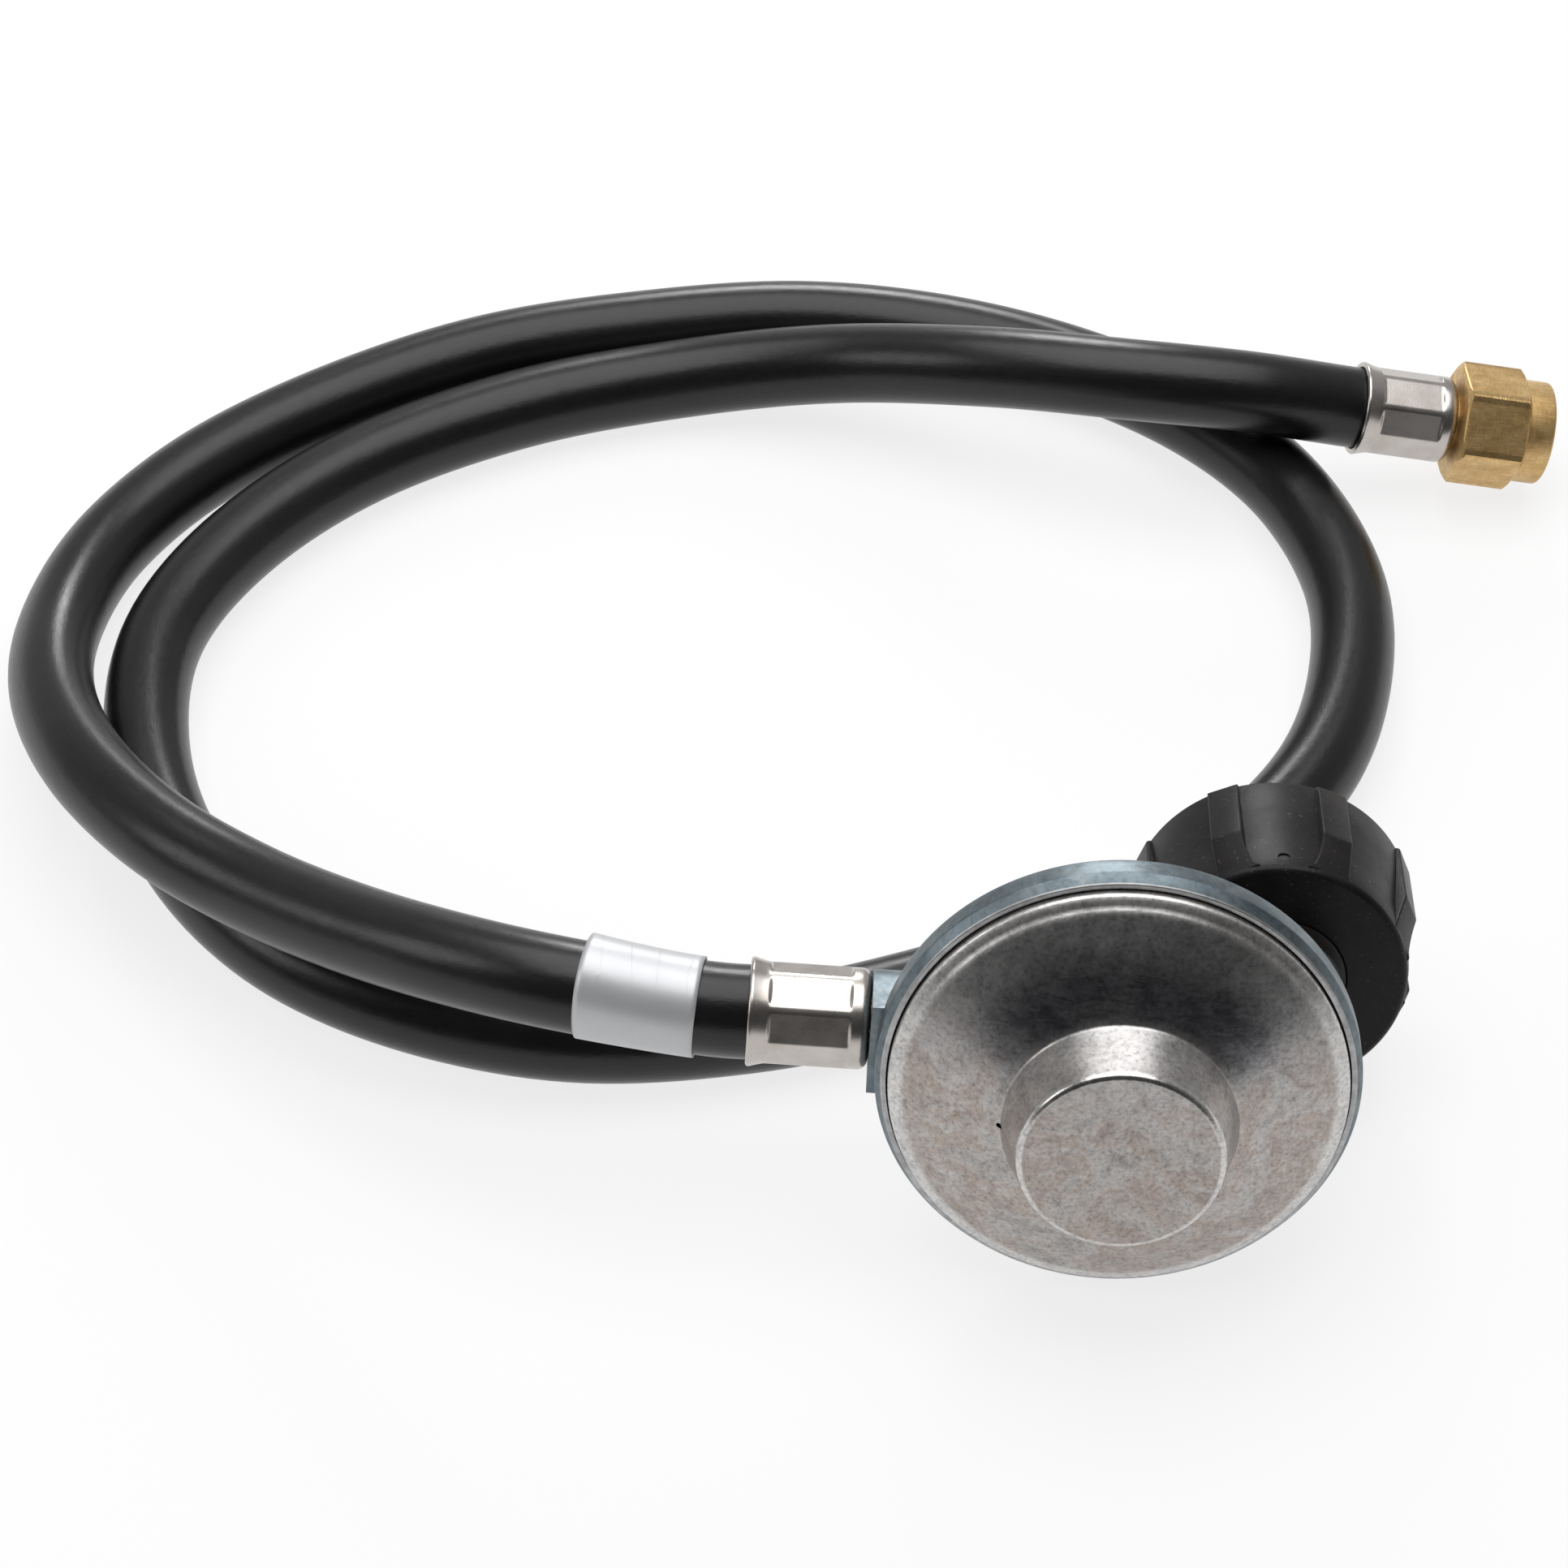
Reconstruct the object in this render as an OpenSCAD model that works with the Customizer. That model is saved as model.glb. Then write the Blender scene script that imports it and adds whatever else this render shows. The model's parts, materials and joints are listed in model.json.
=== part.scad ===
// Low pressure propane regulator with its hose: a die-cast regulator with a spring
// tower, a hand coupling nut on the cylinder side, a rubber hose laid in two loose
// loops, and a brass flare swivel nut on the appliance side.
//
// Regulator pieces are drawn in the regulator's own frame: +Z is the diaphragm axis,
// out of the bonnet; +X points to the inlet; the outlet leaves along -X; Z = 0 is the
// front plane of the rim.  place_regulator() then stands it on the table.
// Pieces on the flare end are drawn along +Z and set on the hose's end by place_flare().

/* [Regulator body] */
// Radius of the body's rim
rim_r = 36; // [34:0.5:38]
// Width of the rim band along the diaphragm axis
rim_band = 5; // [4:0.5:7]
// Depth of the body behind the rim's front plane
body_depth = 20; // [19:0.5:24]
// Distance of the back face's edge inside the rim
back_inset = 10; // [8:0.5:14]
// Thickness of the body's back wall
body_wall = 3; // [2:0.5:4]
// Width of the rim and its ledge round the gas chamber
chamber_inset = 7.5; // [6:0.25:8]
// Depth of the ledge that carries the diaphragm
ledge_depth = 3.2; // [2.4:0.2:4]
// Width of the groove between the rim and the bonnet
rim_groove = 0.2; // [0.1:0.05:0.6]
// Height of the rim's lip rolled up against the bonnet
rim_lip = 0.7; // [0.3:0.1:0.9]
// Width of the rim outside that groove
rim_wall = 1.8; // [1.5:0.1:4]

/* [Bonnet] */
// Height of the bonnet's rounded edge above the rim's front plane
edge_h = 3; // [2.4:0.1:4]
// Rounding of the bonnet's edge
edge_round = 2.1; // [1:0.1:2.6]
// Height at which the dome meets the spring tower
dome_h = 10.6; // [8:0.2:13]
// Radius of the spring tower at its foot
tower_foot_r = 17; // [16:0.25:19]
// Radius of the spring tower at its top
tower_top_r = 15.2; // [14.5:0.1:16]
// Height of the tower's top face above the rim's front plane
tower_h = 20.1; // [18.5:0.5:26]
// Rounding of the tower's top edge
tower_round = 1.3; // [0.5:0.1:2]
// Wall thickness of the bonnet
bonnet_wall = 2.2; // [1.6:0.1:2.6]
// Radius of the vent hole at the foot of the tower
vent_r = 0.6; // [0.4:0.1:0.8]
// Width of the tower's rim round its cap
tower_rim = 1.4; // [1:0.1:1.8]
// Depth of the cap's face below the tower's rim
cap_drop = 0.1; // [0:0.1:1]

/* [Diaphragm and springs] */
// Thickness of the rubber diaphragm
diaphragm_t = 0.8; // [0.5:0.1:1.2]
// Radius of the steel plate on the diaphragm
plate_r = 20; // [18:0.5:21]
// Thickness of the steel plate
plate_t = 1; // [0.8:0.1:1.4]
// Mean radius of the main spring
main_coil_r = 9.6; // [8.5:0.1:10.5]
// Wire radius of the main spring
main_wire_r = 0.9; // [0.6:0.05:1.1]
// Turns of the main spring
main_turns = 5; // [3:1:7]
// Radius of the relief post's stem
stem_r = 3; // [2.5:0.1:3.4]
// Height of the relief post's top above the plate
stem_h = 9.5; // [8:0.5:11]
// Stroke of the diaphragm that shuts the valve
stroke_up = 1.5; // [0.8:0.1:1.6]
// Stroke of the diaphragm that opens the valve fully
stroke_down = 0.8; // [0.4:0.1:1.2]
// Lift of the plate off the post when pressure is relieved
relief_lift = 0.8; // [0.4:0.1:1]

/* [Valve lever] */
// Distance from the lever's pivot to the inlet axis
pivot_arm = 6; // [5:0.5:8]
// Depth of the pivot behind the rim's front plane
pivot_depth = 9; // [8.5:0.25:10]
// Radius of the lever's pivot pin
pin_r = 1; // [0.8:0.1:1.4]
// Thickness of the lever's bar
lever_t = 1.6; // [1.2:0.1:2]
// Thickness of the rubber seat pad
pad_t = 1.5; // [1:0.1:2]
// Gap left between the seat pad and the orifice when the valve is shut
pad_clear = 0.06; // [0.03:0.01:0.2]
// Radius of the orifice's gas hole
orifice_bore_r = 0.8; // [0.5:0.1:1.2]

/* [Inlet and coupling nut] */
// Distance of the inlet axis inside the rim
inlet_inset = 11; // [10:0.25:12]
// Radius of the body's inlet boss
inlet_boss_r = 10; // [9:0.25:10.5]
// Depth of the inlet boss's end face behind the rim's front plane
inlet_boss_depth = 29; // [26:0.5:30.5]
// Depth of the coupling nut's rear face behind the rim's front plane
nut_rear = 31.5; // [31:0.5:34]
// Length of the coupling nut
nut_len = 23; // [21:0.5:28]
// Radius of the coupling nut over its flat grip pads
nut_pad_r = 22.4; // [21.4:0.1:24]
// How far a grip's pad slopes down at its rear end
facet_drop = 2.3; // [2.1:0.05:2.6]
// Number of grips round the coupling nut
nut_grips = 8; // [6:1:12]
// Width of one grip pad
grip_w = 5; // [3:0.25:7]
// How far one side of a grip spreads at its rear end
grip_spread = 1.9; // [0.5:0.1:2.4]
// Depth behind the nut's rear face at which the pads begin to slope down
facet_len = 8.3; // [6:0.1:10]
// Rounding of the nut's rear edge
shoulder_round = 1.2; // [0.6:0.1:1.6]
// Depth of the finger valleys at their rear end
valley_depth = 2; // [1.6:0.1:2.4]
// Depth of the finger valleys at the nut's mouth
valley_far = 0.5; // [0.3:0.1:1]
// Radius of the coupling nut's thread
nut_thread_r = 16.3; // [15.5:0.1:17]
// Thickness of the coupling nut's rear wall
nut_wall = 4; // [3:0.25:5]
// Radius of the inlet nipple's barrel
nipple_r = 8.6; // [7.5:0.1:9.5]
// Distance that the nipple's nose stays back from the nut's mouth
nose_back = 2.5; // [1:0.25:4]

/* [Hose] */
// Outer diameter of the hose
hose_od = 14.3; // [13:0.1:14.6]
// Bore of the hose
hose_id = 8; // [7:0.1:9]
// Length of the foil label band round the hose
label_len = 17.5; // [10:0.5:19]
// Thickness of the foil label band
label_t = 0.25; // [0.15:0.05:0.5]
// How far the band sits from the middle of its stretch towards the regulator
label_shift = 1.1; // [0:0.1:2]

/* [Hose fittings] */
// Radius of the outlet boss and half of its height
outlet_boss_r = 7.6; // [7:0.1:8.5]
// How far the outlet boss's face stands out past the rim
outlet_reach = 0.9; // [0.5:0.1:3]
// Depth of the outlet axis behind the rim's front plane
outlet_depth = 13; // [12:0.25:13.5]
// Wall thickness of the crimped ferrules
ferrule_wall = 0.35; // [0.3:0.05:0.6]
// Length of the regulator's ferrule
reg_ferrule_len = 18; // [16:0.25:20]
// Length of the flare end's ferrule
flare_ferrule_len = 16.8; // [15.6:0.2:18]
// Radius of a ferrule's open lip
lip_r = 8.25; // [8:0.05:8.8]
// Length of the flare tail's neck between the ferrule and the nut
flare_neck = 1; // [0.6:0.2:4]
// Across-flats size of the flare nut
flare_hex_af = 19.05; // [18:0.05:21]
// Length of the flare nut's hexagon
flare_hex_len = 11.8; // [10:0.2:14]
// Length of the flare nut's round collar
flare_collar_len = 4.8; // [2:0.2:6]
// Radius of the flare nut's round collar
flare_collar_r = 9.1; // [8.8:0.05:9.5]
// Radius of the flare nut's threaded bore
flare_thread_r = 7.3; // [7:0.05:7.6]

/* [Hidden] */

$fn = 72;
eps = 0.01;          // overshoot of a cut past the face it opens
fit_gap = 0.06;      // radial clearance of a running fit
slip = 0.05;         // clearance of pieces that are only set together
seat_gap = 0.02;     // gap that keeps two seated faces from sharing volume

inlet_x = rim_r - inlet_inset;              // from the diaphragm axis to the inlet axis
outlet_face_x = rim_r + outlet_reach;       // and to the outlet boss's face
pivot_x = inlet_x - pivot_arm;              // and to the lever's pivot
body_back_r = rim_r - back_inset;
chamber_r = rim_r - chamber_inset;          // gas chamber under the diaphragm
seat_r = rim_r - rim_wall;                  // counterbore that holds the bonnet
bonnet_r = seat_r - rim_groove;             // bonnet's clamped flange

// --- pose of the regulator on the table -------------------------------------------
reg_yaw = 2.4;       // turn of the diaphragm axis to the left
reg_roll = 2.5;      // turn about the diaphragm axis; the outlet rises
reg_x = -5.98;       // place of the rim's centre on the table
reg_y = -16.96;
nut_phase = 22.5 + reg_roll;
floor_gap = 0.05;    // height of the lowest point over the table
rim_edge = 0.8;      // rounding of the rim's edges
nut_round = 0.6;     // rounding of the coupling nut's far edge
nut_mouth = nut_rear + nut_len;
nut_low_r = nut_pad_r - valley_far;
// The regulator leans back until its rim and the coupling nut's far edge both meet the
// table: lean_a is how much farther the rim reaches down, lean_b how far apart they are.
lean_a = rim_r - rim_edge - inlet_x * sin(reg_roll) - (nut_low_r - nut_round);
lean_b = (nut_mouth - nut_round) - (rim_band - rim_edge);
reg_tilt = acos((nut_round - rim_edge) / norm([lean_a, lean_b])) - atan2(lean_b, lean_a);
reg_z = (rim_r - rim_edge) * cos(reg_tilt) + (rim_band - rim_edge) * sin(reg_tilt)
    + rim_edge + floor_gap;

module place_regulator() {
    translate([reg_x, reg_y, reg_z])
        rotate([0, 0, -reg_yaw])
            rotate([90 - reg_tilt, 0, 0])
                rotate([0, 0, -reg_roll])
                    children();
}

// The same placement for a point, used by the hose's route.
function turn_z(p, a) = [p[0] * cos(a) - p[1] * sin(a), p[0] * sin(a) + p[1] * cos(a), p[2]];
function turn_x(p, a) = [p[0], p[1] * cos(a) - p[2] * sin(a), p[1] * sin(a) + p[2] * cos(a)];
function reg_point(p) =
    [reg_x, reg_y, reg_z] + turn_z(turn_x(turn_z(p, -reg_roll), 90 - reg_tilt), -reg_yaw);

// --- hose -------------------------------------------------------------------------
hose_r = hose_od / 2;
hose_z = hose_r;                  // height of the centre line on the table
bore_r = hose_id / 2;
ferrule_back = outlet_face_x + 0.4;
ferrule_end_t = 0.8;
hose_start = ferrule_back + ferrule_end_t + 0.4;
reg_lip_x = ferrule_back + reg_ferrule_len;
function outlet_point(x) = reg_point([-x, 0, -outlet_depth]);

// Route of the hose: straight out of the ferrule, down over its own second loop, round
// behind the regulator, round once more inside, over itself and into the flare ferrule.
label_start = 62;    // distance of the label's stretch from the diaphragm axis
route = concat(
    [outlet_point(hose_start), outlet_point(50), outlet_point(label_start)],
    [[-87.8, 2.8, 36.1], [-105.4, 10.6, 33.4], [-122.5, 22, 28.3], [-139, 34.6, 24.1],
     [-155.4, 48.7, 22], [-169.4, 67.8, 18.7], [-177.8, 89.9, 13.8], [-178.9, 112.3, 9.3],
     [-172.7, 134.9, hose_z], [-158, 155, hose_z], [-135.9, 172.5, hose_z],
     [-110, 186, hose_z], [-82, 193, hose_z], [-53, 196, hose_z], [-26, 192, hose_z],
     [-1, 182, hose_z], [19.6, 167.3, hose_z], [34.5, 147.8, hose_z],
     [42.2, 122.8, hose_z], [40.6, 98, hose_z], [32.3, 75.7, hose_z], [16, 56, hose_z],
     [-8, 39, hose_z], [-34, 27.4, hose_z], [-61, 20, hose_z], [-88.9, 18.2, hose_z],
     [-115.8, 25.1, hose_z], [-137.8, 38.4, hose_z], [-154, 59, hose_z],
     [-162, 84, hose_z], [-161.7, 110.4, hose_z], [-150.3, 134.5, hose_z],
     [-130.1, 155.4, hose_z], [-103, 170.5, hose_z], [-74, 178, 8], [-46, 175.4, 13.7],
     [-18.4, 164.4, 22.1], [5.6, 157.1, 25.3], [26.9, 156.1, 23.3], [45.5, 158.7, 17.6],
     [61.5, 159, 14.5]]);
last = len(route) - 1;

function unit(v) = v / norm(v);
function along(i) =
    i == 0 ? unit(route[1] - route[0]) :
    i == last ? unit(route[last] - route[last - 1]) :
    unit(unit(route[i + 1] - route[i]) + unit(route[i] - route[i - 1]));
// Ring of points square to the route at point i, first point straight down.
function ring(i, r, sides) =
    let (t = along(i), side = unit(cross(t, [0, 0, 1])), up = cross(side, t))
    [for (k = [0:sides - 1])
        route[i] + r * sin(360 * k / sides) * side - r * cos(360 * k / sides) * up];
function quad(a, b, c, d) = [[a, b, c], [a, c, d]];
hose_sides = 12;
hose_length = [for (i = [0:last - 1]) norm(route[i + 1] - route[i])];
function total(v, i = 0) = i >= len(v) ? 0 : v[i] + total(v, i + 1);

// Least distance between stretches of the centre line more than four points apart, less
// one diameter: points set along each stretch against the whole of the other.
gap_steps = 12;
function to_stretch(p, j) =
    let (a = route[j], d = route[j + 1] - a, t = min(1, max(0, (p - a) * d / (d * d))))
    norm(p - a - t * d);
self_gap = min([for (i = [0:last - 1]) for (k = [0:gap_steps])
    let (p = route[i] + (route[i + 1] - route[i]) * k / gap_steps)
    for (j = [0:last - 1]) if (abs(i - j) > 4) to_stretch(p, j)]) - hose_od;
echo(hose_length_mm = total(hose_length), hose_self_gap_mm = self_gap);

// --- flare end --------------------------------------------------------------------
flare_dir = along(last);
flare_turn = 23;     // turn of the hexagon about the hose's end
module place_flare() {
    translate(route[last])
        rotate([0, acos(flare_dir[2]), atan2(flare_dir[1], flare_dir[0])])
            rotate([0, 0, flare_turn])
                children();
}
flare_back_t = ferrule_end_t;          // end wall of the flare ferrule
flare_back_z = 0.4 + flare_back_t;     // outer face of that wall, past the hose's end
flare_nut_z = flare_back_z + flare_neck;   // near face of the flare nut
flare_nut_len = flare_hex_len + flare_collar_len;
flare_nut_end = flare_nut_z + flare_nut_len;
flare_back_wall = 3;                   // nut's wall behind the tail's flange
flare_clear = 6.8;                     // thread left clear in front of the tail's nose
neck_r = 5;
flare_flange_r = 6.9;
flare_relief_r = flare_thread_r + 0.5;

// --- regulator sections -----------------------------------------------------------
flange_z = -ledge_depth + diaphragm_t;      // underside of the bonnet's flange
chamber_floor = -(body_depth - body_wall);
chamber_step = -pivot_depth - 0.5;          // height at which the chamber narrows
chamber_foot_r = body_back_r - 4;
plate_z = flange_z;
stem_top = plate_z + plate_t + stem_h;
cap_t = 2;
cap_z = tower_h - cap_drop - cap_t;
cap_r = tower_top_r - tower_rim;
adjuster_t = 3;
adjuster_z = cap_z - 0.6 - adjuster_t;
tower_bore_r = tower_top_r - bonnet_wall;
lever_top = -pivot_depth + lever_t / 2;
pad_face = -pivot_depth - lever_t / 2 - pad_t;
nozzle_r = 1.7;
in_coil_r = (main_coil_r - main_wire_r) * cos(22.5) - 0.15;   // what fits in the main spring
pad_gap = stroke_up * (inlet_x + nozzle_r - pivot_x) / pivot_x + pad_clear;
orifice_top = pad_face - pad_gap;
fold_in = plate_r + 1.6;                    // inner and outer radius of the diaphragm's fold
fold_out = chamber_r - 0.9;
fold_r = (fold_out - fold_in) / 2;
nipple_bore_r = inlet_boss_r - 3.4;         // hole for the nipple's thread
nipple_thread_r = nipple_bore_r - slip;
collar_r = nipple_r - 0.4;
bushing_r = collar_r + 2.4;
flange_r = 12.6;                            // nipple's flange inside the nut
flange_t = 2;
nut_inner = nut_rear + nut_wall;            // inner face of the nut's rear wall
nose_end = nut_mouth - nose_back;
poppet_bore_r = 5.2;
poppet_bore_in = inlet_boss_depth - 2;      // inner end of the poppet's bore
poppet_len = 5;
poppet_at = nut_inner + 1;                  // depth of the poppet's inner face at rest
cage_at = poppet_at + poppet_len + 0.3;
cage_t = 2;
poppet_travel = 3;

// Points on a quarter or other arc, for outlines turned about Z.
function arc(cx, cy, r, from, to, n = 6) =
    [for (k = [0:n]) let (a = from + (to - from) * k / n) [cx + r * cos(a), cy + r * sin(a)]];

// --- pieces -----------------------------------------------------------------------
module body_outside() {
    rotate_extrude()
        polygon(concat(
            [[0, -body_depth]],
            arc(body_back_r - 3, -body_depth + 3, 3, -90, -25),
            [[rim_r - 3, -rim_band - 0.9]],
            arc(rim_r - rim_edge, -rim_band + rim_edge, rim_edge, -90, 0, 4),
            arc(rim_r - rim_edge, -rim_edge, rim_edge, 0, 90, 4),
            [[seat_r + 0.2, rim_lip], [0, rim_lip]]));
}

module chamber() {
    rotate_extrude()
        polygon([[0, chamber_floor], [chamber_foot_r, chamber_floor], [chamber_r, chamber_step],
                 [chamber_r, rim_lip + 1], [0, rim_lip + 1]]);
    translate([inlet_x, 0, chamber_floor])
        cylinder(r = inlet_boss_r - 4.4, h = -chamber_floor);
}

module outlet_boss() {
    inside = chamber_r - 2;
    translate([-outlet_face_x, 0, -outlet_depth])
        rotate([0, 90, 0])
            cylinder(r = outlet_boss_r, h = outlet_face_x - inside);
    translate([-outlet_face_x, -outlet_boss_r, -outlet_depth])
        cube([outlet_face_x - inside, 2 * outlet_boss_r, outlet_depth - rim_band + 0.5]);
}

module lever_ears() {
    ear = 2;
    clear = 4.5;
    for (side = [-1, 1])
        translate([pivot_x - 2.4, side * (clear + ear / 2) - ear / 2, chamber_floor - eps])
            cube([4.8, ear, -pivot_depth + 2.2 - chamber_floor]);
}

module body_casting() {
    color([0.62, 0.66, 0.69])
    place_regulator()
    difference() {
        union() {
            difference() {
                union() {
                    body_outside();
                    outlet_boss();
                    translate([inlet_x, 0, -inlet_boss_depth])
                        cylinder(r = inlet_boss_r, h = inlet_boss_depth - rim_band - 0.5);
                }
                chamber();
                translate([0, 0, -ledge_depth])
                    cylinder(r = seat_r, h = ledge_depth + rim_lip + 1);
            }
            lever_ears();
        }
        // outlet bore, stepped for the barb
        translate([-outlet_face_x - 1, 0, -outlet_depth])
            rotate([0, 90, 0])
                cylinder(r = barb_seat_r, h = outlet_face_x - chamber_r - 1);
        translate([-outlet_face_x, 0, -outlet_depth])
            rotate([0, 90, 0])
                cylinder(r = barb_bore_r, h = outlet_face_x - chamber_r + 3);
        // inlet bores: orifice from above, nipple thread from below
        translate([inlet_x, 0, -inlet_boss_depth - 1])
            cylinder(r = nipple_bore_r, h = inlet_boss_depth - body_depth + 1);
        translate([inlet_x, 0, -body_depth - 1])
            cylinder(r = orifice_r, h = body_depth + 1 + chamber_floor + 1);
        // pivot pin's hole through both ears
        translate([pivot_x, 0, -pivot_depth])
            rotate([90, 0, 0])
                cylinder(r = pin_r, h = 16, center = true);
    }
}

// Bonnet's outer outline from the flange up to the tower's top.
edge_turn = 62;      // turn of the rounded edge up to the dome's slope
function bonnet_outline() = concat(
    [[bonnet_r, flange_z]],
    arc(bonnet_r - edge_round, edge_h - edge_round, edge_round, 0, edge_turn, 5),
    [[tower_foot_r + 1.2, dome_h - 0.2], [tower_foot_r + 0.4, dome_h + 0.1],
     [tower_foot_r, dome_h + 0.7]],
    arc(tower_top_r - tower_round, tower_h - tower_round, tower_round, 8, 90, 5),
    [[0, tower_h]]);

module bonnet() {
    cavity_r = chamber_r + 1.2;
    color([0.66, 0.65, 0.64])
    place_regulator()
    difference() {
        rotate_extrude()
            polygon(concat([[0, flange_z]], bonnet_outline()));
        rotate_extrude()
            polygon([[0, flange_z - 1], [cavity_r, flange_z - 1], [cavity_r, edge_h - bonnet_wall - 0.8],
                     [tower_foot_r, dome_h - bonnet_wall - 0.4],
                     [tower_bore_r, dome_h - bonnet_wall + 2],
                     [tower_bore_r, cap_z], [cap_r + slip, cap_z],
                     [cap_r + slip, tower_h + 1], [0, tower_h + 1]]);
        translate([-(tower_foot_r + 0.35), -1.3, dome_h - 3 * bonnet_wall])
            cylinder(r = vent_r, h = 4 * bonnet_wall, $fn = 24);
    }
}

module diaphragm() {
    mid = (fold_in + fold_out) / 2;
    hole = stem_r + 0.1;
    color([0.16, 0.15, 0.15])
    place_regulator()
    rotate_extrude()
        polygon(concat(
            [[hole, -ledge_depth], [mid - fold_r + diaphragm_t, -ledge_depth]],
            arc(mid, -ledge_depth, fold_r - diaphragm_t, 180, 0, 10),
            [[seat_r - slip, -ledge_depth], [seat_r - slip, flange_z - seat_gap]],
            [[mid + fold_r, flange_z - seat_gap]],
            arc(mid, -ledge_depth, fold_r, 15, 165, 10),
            [[mid - fold_r, flange_z - seat_gap], [hole, flange_z - seat_gap]]));
}

module diaphragm_plate() {
    ridge = 1.2;
    color([0.72, 0.73, 0.74])
    place_regulator()
    translate([0, 0, plate_z])
    difference() {
        union() {
            cylinder(r = plate_r, h = plate_t);
            difference() {
                translate([0, 0, plate_t - eps])
                    cylinder(r = in_coil_r, h = ridge);
                translate([0, 0, plate_t - 1])
                    cylinder(r = in_coil_r - 1, h = ridge + 2);
            }
        }
        translate([0, 0, -1])
            cylinder(r = stem_r + fit_gap, h = plate_t + 3);
    }
}

hook_slot = lever_t + 0.7;
hook_w = 3.4;
module diaphragm_post() {
    shoulder = 5;
    foot = 3.6;
    bottom = -pivot_depth - hook_slot / 2 - 1.2;
    washer_seat = 1.2;
    color([0.72, 0.70, 0.64])
    place_regulator()
    difference() {
        union() {
            translate([0, 0, bottom])
                cylinder(r = foot, h = -ledge_depth - seat_gap - bottom);
            translate([0, 0, -ledge_depth - 1.2 - seat_gap])
                cylinder(r = shoulder, h = 1.2);
            translate([0, 0, -ledge_depth - 1])
                cylinder(r = stem_r, h = stem_top + ledge_depth + 1 - washer_seat);
            translate([0, 0, stem_top - washer_seat - eps])
                cylinder(r = stem_r - 1, h = washer_seat);
        }
        translate([0, 0, -pivot_depth])
            cube([2 * foot + 1, hook_w, hook_slot], center = true);
    }
}

washer_t = 0.8;
washer_z = stem_top - 1.2;
module relief_washer() {
    color([0.75, 0.75, 0.76])
    place_regulator()
    translate([0, 0, washer_z])
    difference() {
        cylinder(r = stem_r + 2.6, h = washer_t);
        translate([0, 0, -1])
            cylinder(r = stem_r - 1, h = washer_t + 2);
    }
}

// A wire wound into an open helix from height low to height high, with six sides and
// eight rings to a turn.
module wound_wire(coil_r, wire_r, turns, low, high) {
    sides = 6;
    rings = 8 * turns;
    rise = (high - low - 2 * wire_r) / turns;
    lean = atan(rise / (2 * PI * coil_r));
    points = [for (i = [0:rings]) let (a = 45 * i) for (k = [0:sides - 1])
        let (b = 360 * k / sides, out = wire_r * cos(b), up = wire_r * sin(b))
        [(coil_r + out) * cos(a) + up * sin(lean) * sin(a),
         (coil_r + out) * sin(a) - up * sin(lean) * cos(a),
         low + wire_r + rise * i / 8 + up * cos(lean)]];
    walls = [for (i = [0:rings - 1]) for (k = [0:sides - 1])
        let (n = (k + 1) % sides, a = i * sides)
        each quad(a + k, a + n, a + sides + n, a + sides + k)];
    first = [for (k = [1:sides - 2]) [0, k + 1, k]];
    end = rings * sides;
    final = [for (k = [1:sides - 2]) [end, end + k, end + k + 1]];
    polyhedron(points = points, faces = concat(walls, first, final), convexity = 6);
}
// Clear space between one turn of a wire and the next.
function turn_gap(wire_r, turns, low, high) = (high - low - 2 * wire_r) / turns - 2 * wire_r;

main_low = plate_z + plate_t + slip;
main_high = adjuster_z - slip;
module main_spring() {
    color([0.55, 0.56, 0.58])
    place_regulator()
        wound_wire(main_coil_r, main_wire_r, main_turns, main_low, main_high);
}

relief_wire_r = 0.4;
relief_turns = 4;
module relief_spring() {
    color([0.6, 0.6, 0.62])
    place_regulator()
        wound_wire(stem_r + 1.2, relief_wire_r, relief_turns, main_low, washer_z - slip);
}

module adjuster_disc() {
    socket_af = 6;
    color([0.70, 0.69, 0.66])
    place_regulator()
    translate([0, 0, adjuster_z])
    difference() {
        union() {
            cylinder(r = tower_bore_r - slip, h = adjuster_t);
            translate([0, 0, -2])
                cylinder(r = in_coil_r, h = 2 + eps);
        }
        translate([0, 0, -3])
            cylinder(r = socket_af / sqrt(3), h = adjuster_t + 4, $fn = 6);
    }
}

module tower_cap() {
    color([0.68, 0.66, 0.65])
    place_regulator()
    translate([0, 0, cap_z])
    difference() {
        cylinder(r = cap_r, h = cap_t);
        translate([0, 0, -1])
            cylinder(r = cap_r - 1.5, h = cap_t - 0.2);
    }
}

lever_tip_w = 2.8;
lever_w = 6;
lever_hub_r = 2.4;
lever_end_x = inlet_x + 2.6;
module valve_lever() {
    tip_x = -1.6;
    hub_w = 8.6;
    color([0.72, 0.69, 0.60])
    place_regulator()
    translate([0, 0, -pivot_depth])
    difference() {
        union() {
            translate([0, 0, -lever_t / 2])
                linear_extrude(height = lever_t)
                    polygon([[tip_x, -lever_tip_w / 2], [6, -lever_tip_w / 2], [11, -lever_w / 2],
                             [lever_end_x, -lever_w / 2], [lever_end_x, lever_w / 2],
                             [11, lever_w / 2], [6, lever_tip_w / 2], [tip_x, lever_tip_w / 2]]);
            translate([pivot_x, 0, 0])
                rotate([90, 0, 0])
                    cylinder(r = lever_hub_r, h = hub_w, center = true);
        }
        translate([pivot_x, 0, 0])
            rotate([90, 0, 0])
                cylinder(r = pin_r + fit_gap, h = hub_w + 2, center = true);
    }
}

module lever_pin() {
    color([0.6, 0.6, 0.62])
    place_regulator()
    translate([pivot_x, 0, -pivot_depth])
        rotate([90, 0, 0])
            cylinder(r = pin_r, h = 14, center = true);
}

module seat_pad() {
    color([0.12, 0.12, 0.12])
    place_regulator()
    translate([inlet_x, 0, pad_face])
        cylinder(r = 2.6, h = pad_t - seat_gap);
}

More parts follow.
